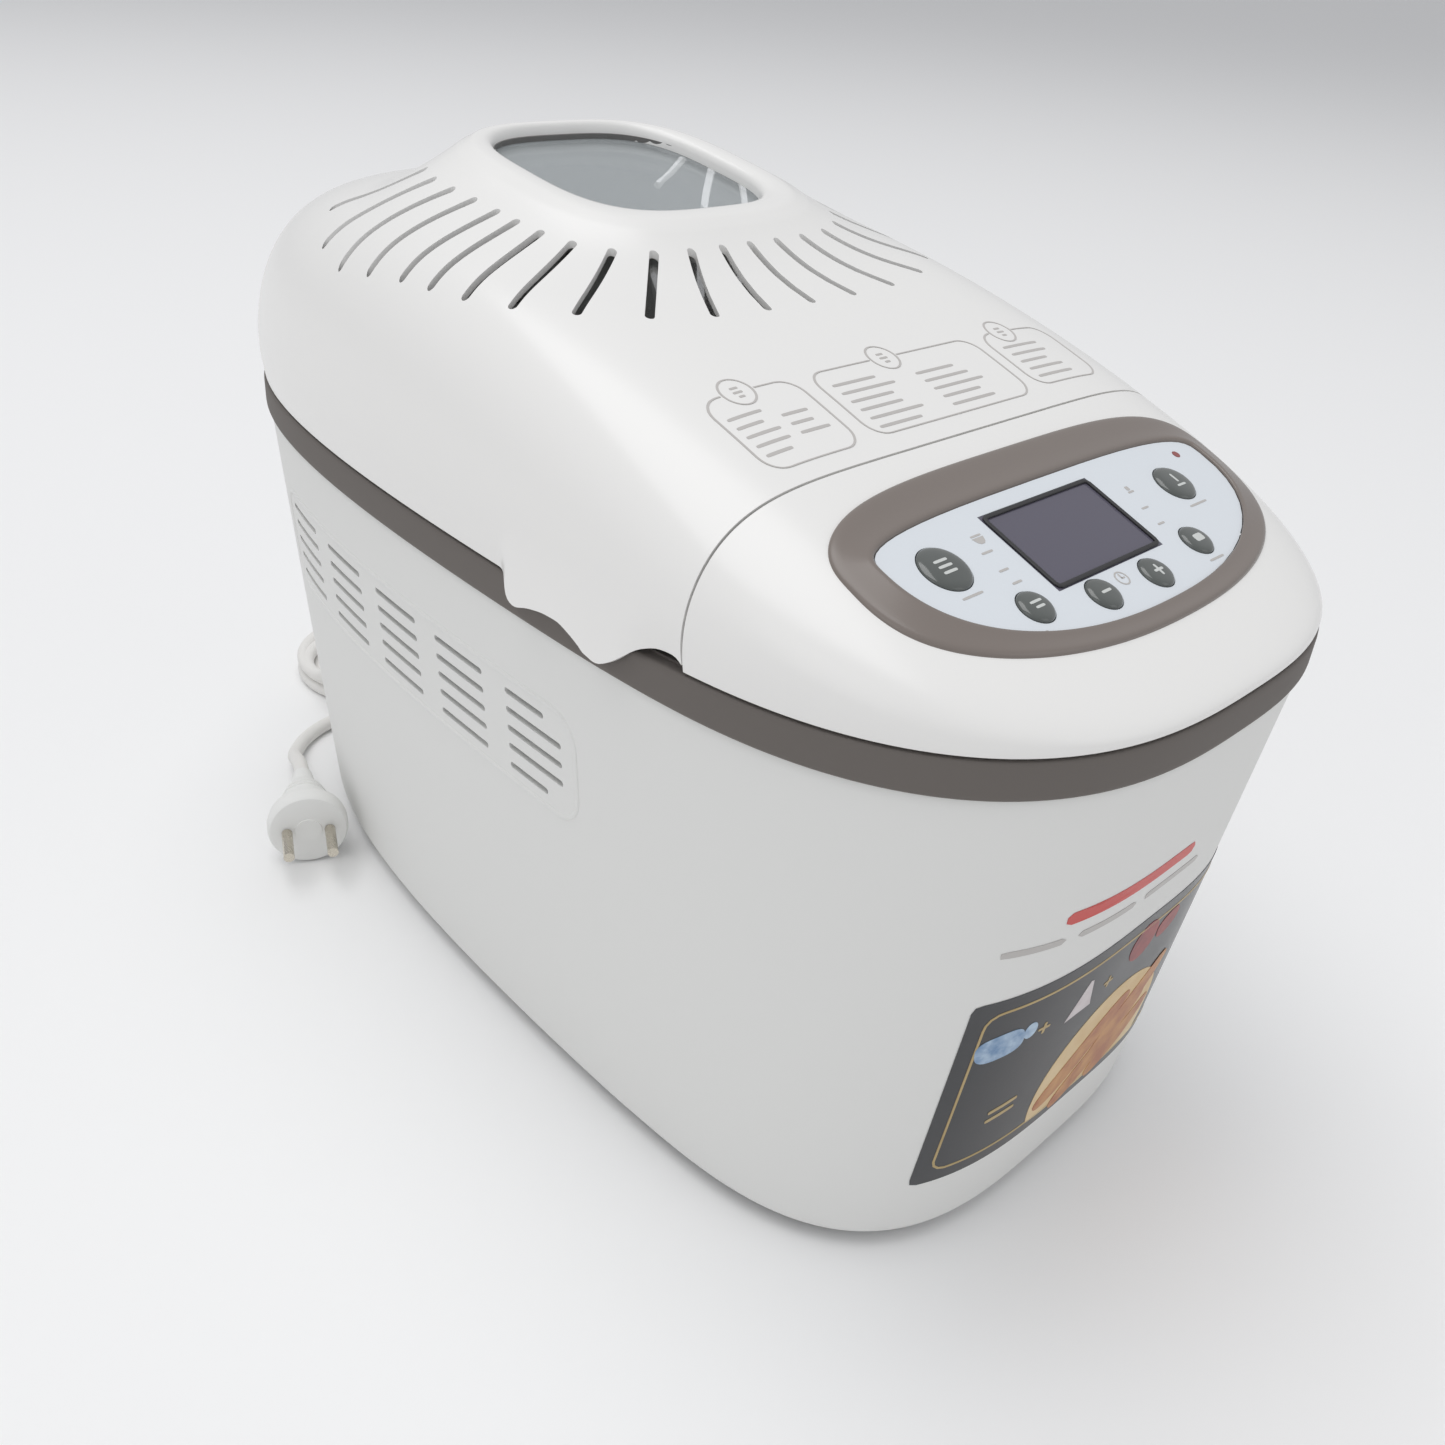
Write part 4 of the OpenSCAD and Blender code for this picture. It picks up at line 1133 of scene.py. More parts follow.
NODE_FINISHES: dict[str, Finish | Glass] = {
    "oven_deck": Finishes.sheet, "base_plate": Finishes.sheet, "feet": Finishes.rubber,
    "base_screws": Finishes.shaft, "hinge_brackets": Finishes.dark, "hinge_pin": Finishes.shaft,
    "housing_back_plate": Finishes.casing, "panel_fascia": Finishes.fascia,
    "display_window": Finishes.display, "display_module": Finishes.dark, "control_board": Finishes.board,
    "indicator_light": Finishes.lamp, "lid_hinge_lugs": Finishes.gloss, "lid_liner": Finishes.oven,
    "window_pane": Finishes.window, "window_inner_pane": Finishes.inner_window,
    "window_seal": Finishes.seal, "oven_cavity": Finishes.oven, "oven_posts": Finishes.sheet,
    "heating_element": Finishes.element, "element_clips": Finishes.sheet, "oven_sensors": Finishes.shaft,
    "pan_clips": Finishes.sheet, "shaft_bearings": Finishes.cast, "front_drive_shaft": Finishes.shaft,
    "rear_drive_shaft": Finishes.shaft, "drive_wheel": Finishes.nylon, "front_link_pulley": Finishes.nylon,
    "rear_link_pulley": Finishes.nylon, "motor_belt": Finishes.rubber, "link_belt": Finishes.rubber,
    "motor_body": Finishes.motor, "motor_bracket": Finishes.sheet, "motor_rotor": Finishes.nylon,
    "motor_pulley": Finishes.nylon, "power_board": Finishes.board, "pan_fittings": Finishes.shaft,
    "pan_handle": Finishes.shaft, "front_pan_spindle": Finishes.shaft, "rear_pan_spindle": Finishes.shaft,
    "plug_pins": Finishes.brass,
}


def dress_nodes(nodes: dict[str, bpy.types.Object]) -> None:
    """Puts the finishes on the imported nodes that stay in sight.

    Args:
        nodes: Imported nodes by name.
    """
    for name, finish in NODE_FINISHES.items():
        mesh = nodes[name].data
        mesh.materials.clear()
        mesh.materials.append(finish.material())
        LOG.info("%s: packed node in %s", name, finish.name)


# --- Mains lead ---


@dataclass
class MainsLead:
    """Free mains lead: out of the gland, round a stored coil behind the casing, and on to its plug."""

    diameter: float = 7.0
    coil_x: float = 14.0
    coil_y: float = 268.0
    wide: float = 41.6
    narrow: float = 34.4
    layer: float = 3.6
    gland: tuple[float, float, float] = (-30.0, 208.4, 24.0)
    plug_at: tuple[float, float, float] = (-113.0, 126.0, 18.2)
    plug_dir: tuple[float, float, float] = (0.45, 0.893, 0.0)
    from_gland: tuple[tuple[float, float, float], ...] = (
        (-30, 232, 24), (-30, 239, 23), (-29.5, 247, 20), (-28.5, 255, 15.5), (-27.6, 262, 12))
    to_plug: tuple[tuple[float, float, float], ...] = (
        (0, 226.5, 3.6), (-16, 226.5, 3.6), (-32, 226.5, 3.6), (-47, 225.2, 3.6), (-61, 219.5, 3.6),
        (-72, 209.8, 5), (-79, 199, 9.5), (-83.4, 188.5, 14.5), (-87, 178.5, 17.4), (-91.4, 168.9, 18.2))

    def coil(self) -> Points:
        """Turns of the coil, clockwise from its left: wide and narrow on top, narrow and wide below.

        Returns:
            Points of shape (n, 3).
        """
        turn = np.arange(0, 3.7501, 1 / 24)
        inward = smooth((turn - 1.0) / 0.18) - smooth((turn - 2.76) / 0.18)
        down = smooth((turn - 1.84) / 0.16)
        r = mix(self.wide, self.narrow, inward)
        z = mix(self.layer + 7.1, self.layer, down)
        a = math.pi - turn * FULL_TURN
        return np.stack([self.coil_x + r * np.cos(a), self.coil_y + r * np.sin(a), z], 1)

    def route(self) -> Points:
        """Returns the centre line from the gland to the plug, every 3 mm."""
        return spline(np.concatenate([np.array(self.from_gland, float), self.coil(),
                                      np.array(self.to_plug, float)]), 3.0)

    def on_plug(self, local: Points) -> Points:
        """Returns points of the plug's frame, z along its axis towards the lead, in the part's frame."""
        along = np.array(self.plug_dir) / np.linalg.norm(self.plug_dir)
        side = np.cross([0, 0, 1], along)
        return (np.array(self.plug_at) + local[..., :1] * side + local[..., 1:2] * np.array([0, 0, 1.0])
                + local[..., 2:] * along)

    def on_gland(self, local: Points) -> Points:
        """Returns points of the gland's frame, z along its axis away from the casing."""
        x, y, z = (local[..., k] for k in range(3))
        return np.stack([x, z, -y], -1) + np.array(self.gland)

    def build(self) -> None:
        path = self.route()
        section = superellipse(self.diameter / 2, self.diameter / 2, 2, 18)
        lead = Shape().tube(path, section).object("mains_lead")
        ribs = np.arange(0.0, 23.6, 0.4)
        size = np.interp(ribs, [0, 3, 3.05, 4, 12, 23.5], [8, 8, 6.6, 6.4, 5.2, 4.1])
        size -= np.where(ribs > 4.2, 0.45 * (np.sin(ribs * FULL_TURN / 3.2) > 0.35), 0)
        relief = np.concatenate([[[0, 0]], np.stack([size, ribs], 1), [[0, 23.5]]])
        gland = Shape().lathe(relief, self.on_gland, 48).object("lead_strain_relief")
        profile = np.array([[0, 0], [6, 0], [6.2, 0.5], [15.6, 0.5], [16.9, 0.9], [17.7, 2.0], [18, 3.6],
                            [18, 7.6], [17.6, 9.4], [16.4, 11.2], [14.6, 13.2], [13.2, 15.6], [12.4, 18.4],
                            [11.8, 20.6], [11.7, 22], [10.9, 22.3], [10.8, 23.6], [11.3, 24], [10.5, 26.5],
                            [9.6, 26.8], [9.5, 28.1], [9.9, 28.5], [8.6, 32.2], [7.2, 34.6], [6.5, 37],
                            [5.8, 38], [5.8, 39.4], [5.3, 40], [5.3, 42], [4.9, 42.6], [4.9, 44.6],
                            [4.5, 45.2], [4.4, 48], [0, 48]])
        plug = Shape().lathe(profile, self.on_plug, 72).object("lead_plug")
        dress(lead, Finishes.lead, Body.HOUSING, ["lead_inner", "lead_coil", "lead_outer"], 60)
        dress(gland, Finishes.lead, Body.HOUSING, ["lead_gland"], 30)
        dress(plug, Finishes.plug, Body.HOUSING, ["mains_plug"], 30)


# --- Casing ---


@dataclass
class Casing:
    """Tapered casing with its side vents, the rim band and the front label."""

    form: Form
    wall: float = 3.0
    vent_rows: tuple[float, ...] = (136, 144, 151.5, 159, 166.5)
    vent_start: float = -63.0
    vent_pitch: float = 45.0
    vent_length: float = 31.0
    vent_half: float = 1.25
    border: tuple[float, float, float, int] = (228, 43, 12, 12)
    border_y: float = 43.5
    border_z: float = 151.3
    label_x: float = 76.0

    def build(self) -> None:
        """Makes every piece of the casing."""
        self.shell()
        self.band()
        for side in (-1.0, 1.0):
            self.vent_border(side)
        self.label()

    def foot_round(self, z: float) -> float:
        """Returns how far the wall is drawn in near the foot, along a quarter ellipse."""
        return 9 * (1 - math.sqrt(1 - min(1, (12 - z) / 8.2) ** 2 * 0.94)) if z < 12 else 0.0

    def shell(self) -> None:
        """Makes the casing wall and cuts the vents through both sides."""
        levels = np.concatenate([np.linspace(self.form.low, 12, 10), np.linspace(18, 196, 34), [199.2, 200]])
        inset = [self.foot_round(z) + (0.35 if z > 199.5 else 0) for z in levels]
        rows = np.stack([self.form.wall_ring(z, i) for z, i in zip(levels, inset)])
        shell = Shape().grid(rows).object("casing_shell", np.array([0, 0, 100]))
        give_wall(shell, self.wall)
        cutter = Shape()
        for side in (-1.0, 1.0):
            for y, z, length in self.vents():
                loop = rounded_loop(length, 2 * self.vent_half, self.vent_half - 0.02, 5)
                middle = self.form.side_wall(np.array([y + length / 2]), np.array([z]), side)[0]
                ring = np.stack([np.zeros(len(loop)), loop[:, 0], loop[:, 1]], 1) + middle
                reach = np.array([9.0, 0, 0]) * side
                cutter.prism(ring - reach, ring + reach)
        cut_away(shell, cutter)
        dress(shell, Finishes.casing, Body.HOUSING, ["casing"])

    def vents(self) -> list[tuple[float, float, float]]:
        """Returns the (start, height, length) of each vent slot; two at the front corners are shorter."""
        found = []
        for column in range(5):
            for z in self.vent_rows:
                short = 9.0 if column == 0 and z in (self.vent_rows[0], self.vent_rows[-1]) else 0.0
                found.append((self.vent_start + column * self.vent_pitch + short, z,
                              self.vent_length - short))
        return found

    def vent_border(self, side: float) -> None:
        """Makes the raised border round one group of vents: a low arched section along a rounded oblong.

        Args:
            side: 1 on the right and -1 on the left.
        """
        loop = even_loop(rounded_loop(*self.border), 2.5)
        y, z = loop[:, 0] + self.border_y, loop[:, 1] + self.border_z
        path = self.form.side_wall(y, z, side, 0.05)
        outward = self.form.side_wall(y, z, side, 1.05) - path
        arch = superellipse(0.95, 0.42, 2, 10)
        border = Shape().tube(path, arch, outward, closed=True)
        name = "vent_border_right" if side > 0 else "vent_border_left"
        dress(border.object(name), Finishes.casing, Body.HOUSING, edge=70)

    def band(self) -> None:
        """Makes the rim band: its section goes up the proud face, over the top and down inside."""
        low, high = self.form.casing_h + 0.05, self.form.lid_low - 0.15
        profile = [(1.4, low), (0.2, low), (-0.25, low + 0.25), (-0.5, low + 0.9), (-0.6, low + 2),
                   (-0.6, high - 3.4), (-0.5, high - 2.2), (-0.15, high - 1.3), (0.5, high - 0.95),
                   (3.2, high - 0.85), (3.4, high - 0.7), (3.4, high), (5.4, high), (5.4, low)]
        rows = [at_height(self.form.rim(inset), z) for inset, z in profile]
        band = Shape().grid(np.stack(rows), wrap_rows=True).object("casing_rim_band")
        dress(band, Finishes.band, Body.HOUSING, ["rim_band"], 50)

    # Front label

    def on_front(self, local: Points, lift: Points | float = 0.0) -> Points:
        """Returns points of the front wall for (x, z) pairs."""
        lift = np.broadcast_to(lift, local.shape[:-1])
        return self.form.front_wall(local[..., 0], local[..., 1], lift)

    def label(self) -> None:
        """Makes the label card and its plain printed picture of three ingredients and the loaves."""
        def card(rx: float, low: float, high: float, r: float) -> Points:
            loop = self.oblong(2 * rx, high - low, r)
            bow = 5.0 * (1 - (loop[:, 0] / self.label_x) ** 2)
            return loop + np.stack([0 * bow, (low + high) / 2 + bow], 1)

        base = card(self.label_x, 34, 120, 2)
        self.film("label_card", [base], Finishes.card, 0.1, 24)
        line = card(self.label_x - 5.5, 40, 114, 5)
        path = self.on_front(line, 0.28)
        outward = self.on_front(line, 1.28) - path
        strip = np.array([[-0.45, -0.1], [0.45, -0.1], [0.45, 0.06], [-0.45, 0.06]])
        keyline = Shape().tube(path, strip, outward, closed=True)
        signs = self.signs([(-45, 100), (-13, 103)], False) + self.signs([(-50, 63)], True)
        for loop in signs:
            keyline.print_on(loop, self.on_front, 1, 0.1, 0.24)
        dress(keyline.object("label_gold_print"), Finishes.card_gold, Body.HOUSING)
        disc = superellipse(37.5, 37.5, 2, 90) + [5, 55]
        disc[:, 1] = disc[:, 1].clip(min=43.5)
        self.film("label_cream_disc", [disc], Finishes.card_cream, 0.22, 12)
        loaves = [self.turned(superellipse(w, 6.4, 2.4, 40), a, x, z)
                  for w, a, x, z in ((27, 38, -8, 66), (28, 34, 6, 58), (25, 40, 18, 72), (20, 30, 22, 54))]
        self.film("label_loaves", loaves, Finishes.card_loaf, 0.36, 6)
        cup = [self.turned(superellipse(8.5, 5.8, 3, 30), 12, -62, 99),
               self.turned(superellipse(2.6, 3.6, 2, 20), 0, -51.5, 102)]
        self.film("label_cup", cup, Finishes.card_blue, 0.24, 4)
        sack = np.array([[-34, 96], [-21, 97.5], [-22, 100], [-25.5, 111], [-27, 111.5]], float)
        self.film("label_flour", [sack], Finishes.card_paper, 0.24, 4)
        fruit = [self.turned(superellipse(8, 8.4, 2.1, 36), 0, 4, 112),
                 self.turned(superellipse(7, 5.2, 2.4, 30), 15, 20, 112)]
        self.film("label_fruit", fruit, Finishes.card_fruit, 0.24, 4)
        dashes = [self.oblong(w, 2.6, 1.1) + [x, 141] for w, x in ((22, -63), (28, -33), (34, 3))]
        self.film("tagline_dashes", dashes, Finishes.print_grey, 0.05, 2)
        self.film("name_bar", [self.oblong(66, 5, 2.2) + [-22, 150]], Finishes.print_red, 0.05, 3)

    @staticmethod
    def oblong(w: float, h: float, r: float) -> Points:
        """Returns a rounded rectangle with a point every 2.5 mm."""
        return even_loop(rounded_loop(w, h, r, 5), 2.5)

    @staticmethod
    def turned(loop: Points, degrees: float, x: float, y: float) -> Points:
        """Returns a loop turned about its middle and moved to a place."""
        a = math.radians(degrees)
        turn = np.array([[math.cos(a), math.sin(a)], [-math.sin(a), math.cos(a)]])
        return loop @ turn + [x, y]

    def signs(self, places: Sequence[tuple[float, float]], equals: bool) -> list[Points]:
        """Returns the bars of plus signs, or of equals signs."""
        found = []
        for x, z in places:
            if equals:
                found += [self.turned(superellipse(6, 0.9, 6, 16), 12, x, z + d) for d in (2.2, -2.2)]
            else:
                found += [self.turned(superellipse(2.6, 0.6, 6, 16), a, x, z) for a in (0, 90)]
        return found

    def film(self, name: str, loops: Sequence[Points], finish: Finish, lift: float, rings: int) -> None:
        """Prints loops on the front wall as thin films of one finish."""
        shape = Shape()
        for loop in loops:
            shape.print_on(loop, self.on_front, rings, 0.12, lift)
        dress(shape.object(name), finish, Body.HOUSING, edge=60)


# --- Lid and control housing ---


@dataclass
class TopCover:
    """The lid shell with its ears, window collar and fan of slots, and the fixed control housing."""

    form: Form
    wall: float = 2.2
    seam_gap: float = 0.4
    slot_half: float = 1.6
    slots_each_side: int = 12
    slots_low: float = 262.0
    slots_high: float = 330.0
    hole: tuple[float, float, float] = (91.5, 45.3, 21.7)

    def build(self) -> None:
        """Makes the lid shell, the control housing and the lid's print."""
        self.lid()
        self.housing()
        self.print_boxes()

    def lid(self) -> None:
        """Makes the lid: the shell behind the seam, given a wall and cut by the slots."""
        centre = np.array([0, 30, 200])
        lid = Shape().grid(self.form.shell_rows(ears=True)).object("lid_cover", centre)
        keep_side(lid, self.form.seam + self.seam_gap, rear=True)
        give_wall(lid, self.wall)
        cutter = Shape()
        for k in range(-self.slots_each_side, self.slots_each_side + 1):
            inner, outer = self.slot_ends(k)
            along = outer - inner
            length = float(np.linalg.norm(along))
            loop = rounded_loop(length + 2 * self.slot_half, 2 * self.slot_half, self.slot_half - 0.02, 6)
            plan = Casing.turned(loop, math.degrees(math.atan2(along[1], along[0])), *((inner + outer) / 2))
            cutter.prism(at_height(plan, self.slots_low), at_height(plan, self.slots_high))
        cut_away(lid, cutter)
        dress(lid, Finishes.gloss, Body.LID, ["lid_shell"], 42)

    def slot_ends(self, k: int) -> tuple[Points, Points]:
        """Ends of a slot of the fan, counted from the middle of the front.

        The slots step by 10.3 degrees at the collar and 11.1 further out, and bunch by a sine between
        the corners of the collar.

        Args:
            k: Number of the slot; negative on the left.

        Returns:
            Its inner and outer end in plan.
        """
        n = abs(k)
        bunch = 6 * math.sin(math.radians(22.5 * n)) if n < 8 else 0.0
        ends = []
        for step, rx, ry in ((10.3, 71, 61), (11.1, 103, 91)):
            a = math.radians(step * n + bunch - 90)
            r = (abs(math.cos(a) / rx) ** 3.4 + abs(math.sin(a) / ry) ** 3.4) ** (-1 / 3.4)
            side = -1.0 if k < 0 else 1.0
            ends.append(np.array([side * r * math.cos(a), self.form.hood + r * math.sin(a)]))
        return ends[0], ends[1]

    def housing(self) -> None:
        """Makes the control housing: the shell ahead of the seam, with the panel's hole."""
        centre = np.array([0, -60, 150])
        shell = Shape().grid(self.form.shell_rows(ears=False)).object("control_cover", centre)
        keep_side(shell, self.form.seam - self.seam_gap, rear=False)
        give_wall(shell, self.wall)
        hole = panel_loop(*self.hole, 120)
        cut_away(shell, Shape().prism(self.form.on_panel(hole, -30), self.form.on_panel(hole, 30)))
        dress(shell, Finishes.gloss, Body.HOUSING, ["control_housing"], 42)

    # Print on the lid: three boxes of lines, each with a round picture on its rear edge

    def print_boxes(self) -> None:
        """Makes the printed boxes, their circles and the lines of programme names as plain dashes."""
        ink = Shape()
        boxes = [(-86, -47, -113, -81, -70, 6), (-40, 44, -112, -81, -2, 6), (50, 89, -110, -81, 64, 6)]
        for left, right, front, rear, circle_x, r in boxes:
            middle = np.array([(left + right) / 2, (front + rear) / 2])
            loop = even_loop(rounded_loop(right - left, rear - front, 7, 8) + middle, 1.0)
            clear = np.hypot(loop[:, 0] - circle_x, loop[:, 1] - rear) > r
            start = int(np.argmax(clear & ~np.roll(clear, 1)))
            run = np.roll(loop, -start, 0)[np.roll(clear, -start)]
            self.ink_line(ink, run, 0.42)
            a = np.linspace(0, FULL_TURN, 40, endpoint=False)
            circle = np.stack([circle_x + r * np.cos(a), rear + r * np.sin(a)], 1)
            self.ink_line(ink, circle, 0.4, closed=True)
            for d, w in ((1.6, 3.2), (-0.4, 3.8), (-2.4, 2.4)):
                self.dash(ink, circle_x, rear + d, w, 0.45)
        columns = [(-83, 5, 15, -107), (-64.5, 3, 13, -103), (-35, 6, 26, -109), (3, 5, 27, -108),
                   (55, 5, 22, -106)]
        for number, (x, lines, width, first) in enumerate(columns):
            for i in range(lines):
                w = width * (0.72 + 0.28 * math.sin(2.1 * i + 1.3 * number) ** 2)
                self.dash(ink, x + w / 2, first + 4.1 * i, w, 0.6)
        dress(ink.object("lid_print"), Finishes.print_grey, Body.LID, edge=60)

    def dash(self, ink: Shape, x: float, y: float, w: float, half: float) -> None:
        """Prints one dash on the lid."""
        ink.print_on(Casing.turned(superellipse(w / 2, half, 6, 20), 0, x, y), self.form.on_top, 2, 0.1)

    def ink_line(self, ink: Shape, plan: Points, half: float, closed: bool = False) -> None:
        """Prints a line of constant width along a run of plan points."""
        strip = np.array([[-half, -0.06], [half, -0.06], [half, 0.1], [-half, 0.1]])
        ink.tube(self.form.on_top(plan), strip, closed=closed)


# --- Control panel ---


@dataclass
class Key:
    """One round key of the panel."""

    node: str
    x: float
    v: float
    r: float
    marks: tuple[tuple[float, float, float, float, float], ...]


@dataclass
class ControlPanel:
    """Glossy bezel, six keys, the display's frame and the print on the fascia film."""

    form: Form
    outer: tuple[float, float, float] = (97.5, 51.3, 27.7)
    inner: tuple[float, float, float] = (86.0, 44.0, 12.8)
    display: tuple[float, float, float, float] = (-7.3, 5.3, 55.5, 31.0)
    keys: tuple[Key, ...] = (
        Key("menu_button", -66, 9.6, 8.6, ((-0.6, 2.2, 2.9, 0.5, 0), (-0.6, 0, 2.9, 0.5, 0),
                                          (-0.6, -2.2, 2.9, 0.5, 0))),
        Key("weight_button", -50, -12.8, 6.1, ((0, 1.0, 2.6, 0.45, 0), (0, -1.0, 2.0, 0.45, 0))),
        Key("minus_button", -22, -18.2, 6.1, ((0, 0, 2.3, 0.5, 0),)),
        Key("plus_button", 6, -19.2, 6.1, ((0, 0, 2.3, 0.5, 0), (0, 0, 2.3, 0.5, 90))),
        Key("colour_button", 37, -15, 6.1, ((0, 0, 2.4, 1.5, 0),)),
        Key("start_button", 57, 7.5, 7.8, ((0, 1.2, 2.0, 0.5, 90), (0, -2.2, 2.4, 0.45, 0))))

    def build(self) -> None:
        """Makes every piece of the panel."""
        self.bezel()
        for key in self.keys:
            self.key(key)
        self.display_frame()
        self.film_print()

    def loop(self, share: float) -> Points:
        """Returns the outline at a share of the way from the bezel's outer edge to the film."""
        return panel_loop(*(mix(a, b, share) for a, b in zip(self.outer, self.inner)))

    def surface_height(self, local: Points) -> Points:
        """Returns how far the housing's top surface stands above the panel's plane, straight up."""
        flat = self.form.on_panel(local)
        return self.form.top(flat[..., 0], flat[..., 1]) - flat[..., 2]

    def bezel(self) -> None:
        """Makes the bezel: rounded outer edge on the housing, shallow hollow, rounded lip at the film.

        Each row is (share of the way in, share of the panel's plane, height).
        """
        rows = [(0.0, 0.0, -1.6), (0.0, 0.0, 0.15), (0.012, 0.0, 0.55), (0.04, 0.0, 0.95),
                (0.09, 0.02, 1.22), (0.16, 0.06, 1.28), (0.28, 0.18, 1.1), (0.42, 0.36, 0.9),
                (0.56, 0.57, 0.78), (0.70, 0.77, 0.8), (0.80, 0.90, 0.92), (0.87, 1.0, 1.0),
                (0.93, 1.0, 0.92), (0.965, 1.0, 0.6), (0.975, 1.0, 0.0), (0.975, 1.0, -2.0),
                (0.62, 1.0, -2.2), (0.3, 0.5, -1.9)]
        rings = []
        for share, flat, lift in rows:
            local = self.loop(share)
            point = self.form.on_panel(local)
            point[:, 2] += self.surface_height(local) * (1 - flat) + lift
            rings.append(point)
        bezel = Shape().grid(np.stack(rings), wrap_rows=True).object("panel_bezel_ring")
        dress(bezel, Finishes.bezel, Body.HOUSING, ["panel_bezel"], 50)

    def place(self, x: float, v: float) -> Callable[[Points], Points]:
        """Returns a function that takes points of a local frame, z out of the panel, to the part's."""
        return lambda local: self.form.on_panel(local[..., :2] + [x, v], local[..., 2])

    def key(self, key: Key) -> None:
        """Makes one key, a domed cap with a skirt and a stem, and the pale mark on it."""
        r = key.r
        profile = np.array([(0, 1.5), (0.25 * r, 1.49), (0.5 * r, 1.42), (0.68 * r, 1.3), (0.8 * r, 1.15),
                            (0.88 * r, 0.95), (0.94 * r, 0.7), (r - 0.15, 0.4), (r, 0.1), (r, -2.5),
                            (r + 1.2, -2.5), (r + 1.2, -4.2), (1.8, -4.2), (1.8, -8.6), (0, -8.6)])
        cap = Shape().lathe(profile, self.place(key.x, key.v), 72).object(key.node + "_cap")
        dress(cap, Finishes.key, key.node + "_key", [key.node], 40)

        def on_cap(local: Points, lift: Points | float) -> Points:
            dome = 1.5 - 0.45 * (np.hypot(local[..., 0], local[..., 1]) / r) ** 2.5
            return self.form.on_panel(local + [key.x, key.v], dome + lift)

        ink = Shape()
        for x, v, half_w, half_v, turn in key.marks:
            ink.print_on(Casing.turned(superellipse(half_w, half_v, 5, 28), turn, x, v), on_cap, 3, 0.09)
        mark = ink.object(key.node + "_mark")
        dress(mark, Finishes.print_pale, key.node + "_key")

    def display_frame(self) -> None:
        """Makes the thin dark frame round the display."""
        x, v, w, h = self.display
        loop = even_loop(rounded_loop(w, h, 1.6, 5), 1.2)
        path = self.form.on_panel(loop + [x, v], 0.3)
        up = self.form.on_panel(np.zeros(2), 1.0) - self.form.on_panel(np.zeros(2), 0.0)
        strip = rounded_loop(1.5, 0.7, 0.3, 4)
        frame = Shape().tube(path, strip, up, closed=True).object("display_frame")
        dress(frame, Finishes.dark, Body.HOUSING, edge=60)

    def film_print(self) -> None:
        """Makes the grey print on the film: small stage symbols beside the display."""
        ink = Shape()
        bars = [(-46, 9.6, 2.6, 0.4, 0), (-47, 2.1, 2.2, 0.4, 0), (-47, -3.2, 2.2, 0.4, 0),
                (-44, 16.2, 2.4, 0.35, 0), (34, 10.7, 1.6, 0.4, 0), (32, 3.2, 1.9, 0.4, 0),
                (31, -4.3, 1.9, 0.4, 0), (34, 12.4, 0.9, 0.9, 0), (-9, -15.2, 0.35, 1.0, 0),
                (-8.4, -16, 0.9, 0.3, 0), (-66, -1.6, 4.6, 0.42, 0), (-58, -21, 3.8, 0.42, 0),
                (37, -23.6, 4.2, 0.42, 0), (57, -3, 5.2, 0.42, 0)]
        for x, v, half_w, half_v, turn in bars:
            ink.print_on(Casing.turned(superellipse(half_w, half_v, 5, 24), turn, x, v),
                         self.form.on_panel, 2, 0.1)
        bowl = np.array([[-46.6, 15.4], [-41.4, 15.4], [-42.2, 13.6], [-43.2, 12.8], [-44.8, 12.8],
                         [-45.8, 13.6]])
        ink.print_on(bowl, self.form.on_panel, 2, 0.1)
        up = self.form.on_panel(np.zeros(2), 1.0) - self.form.on_panel(np.zeros(2), 0.0)
        strip = rounded_loop(0.55, 0.2, 0.08, 3)
        clock = self.form.on_panel(superellipse(2.5, 2.5, 2, 40) + [-9, -16], 0.05)
        ink.tube(clock, strip, up, closed=True)
        dress(ink.object("panel_print"), Finishes.print_grey, Body.HOUSING, edge=60)


# --- Pan and paddles ---


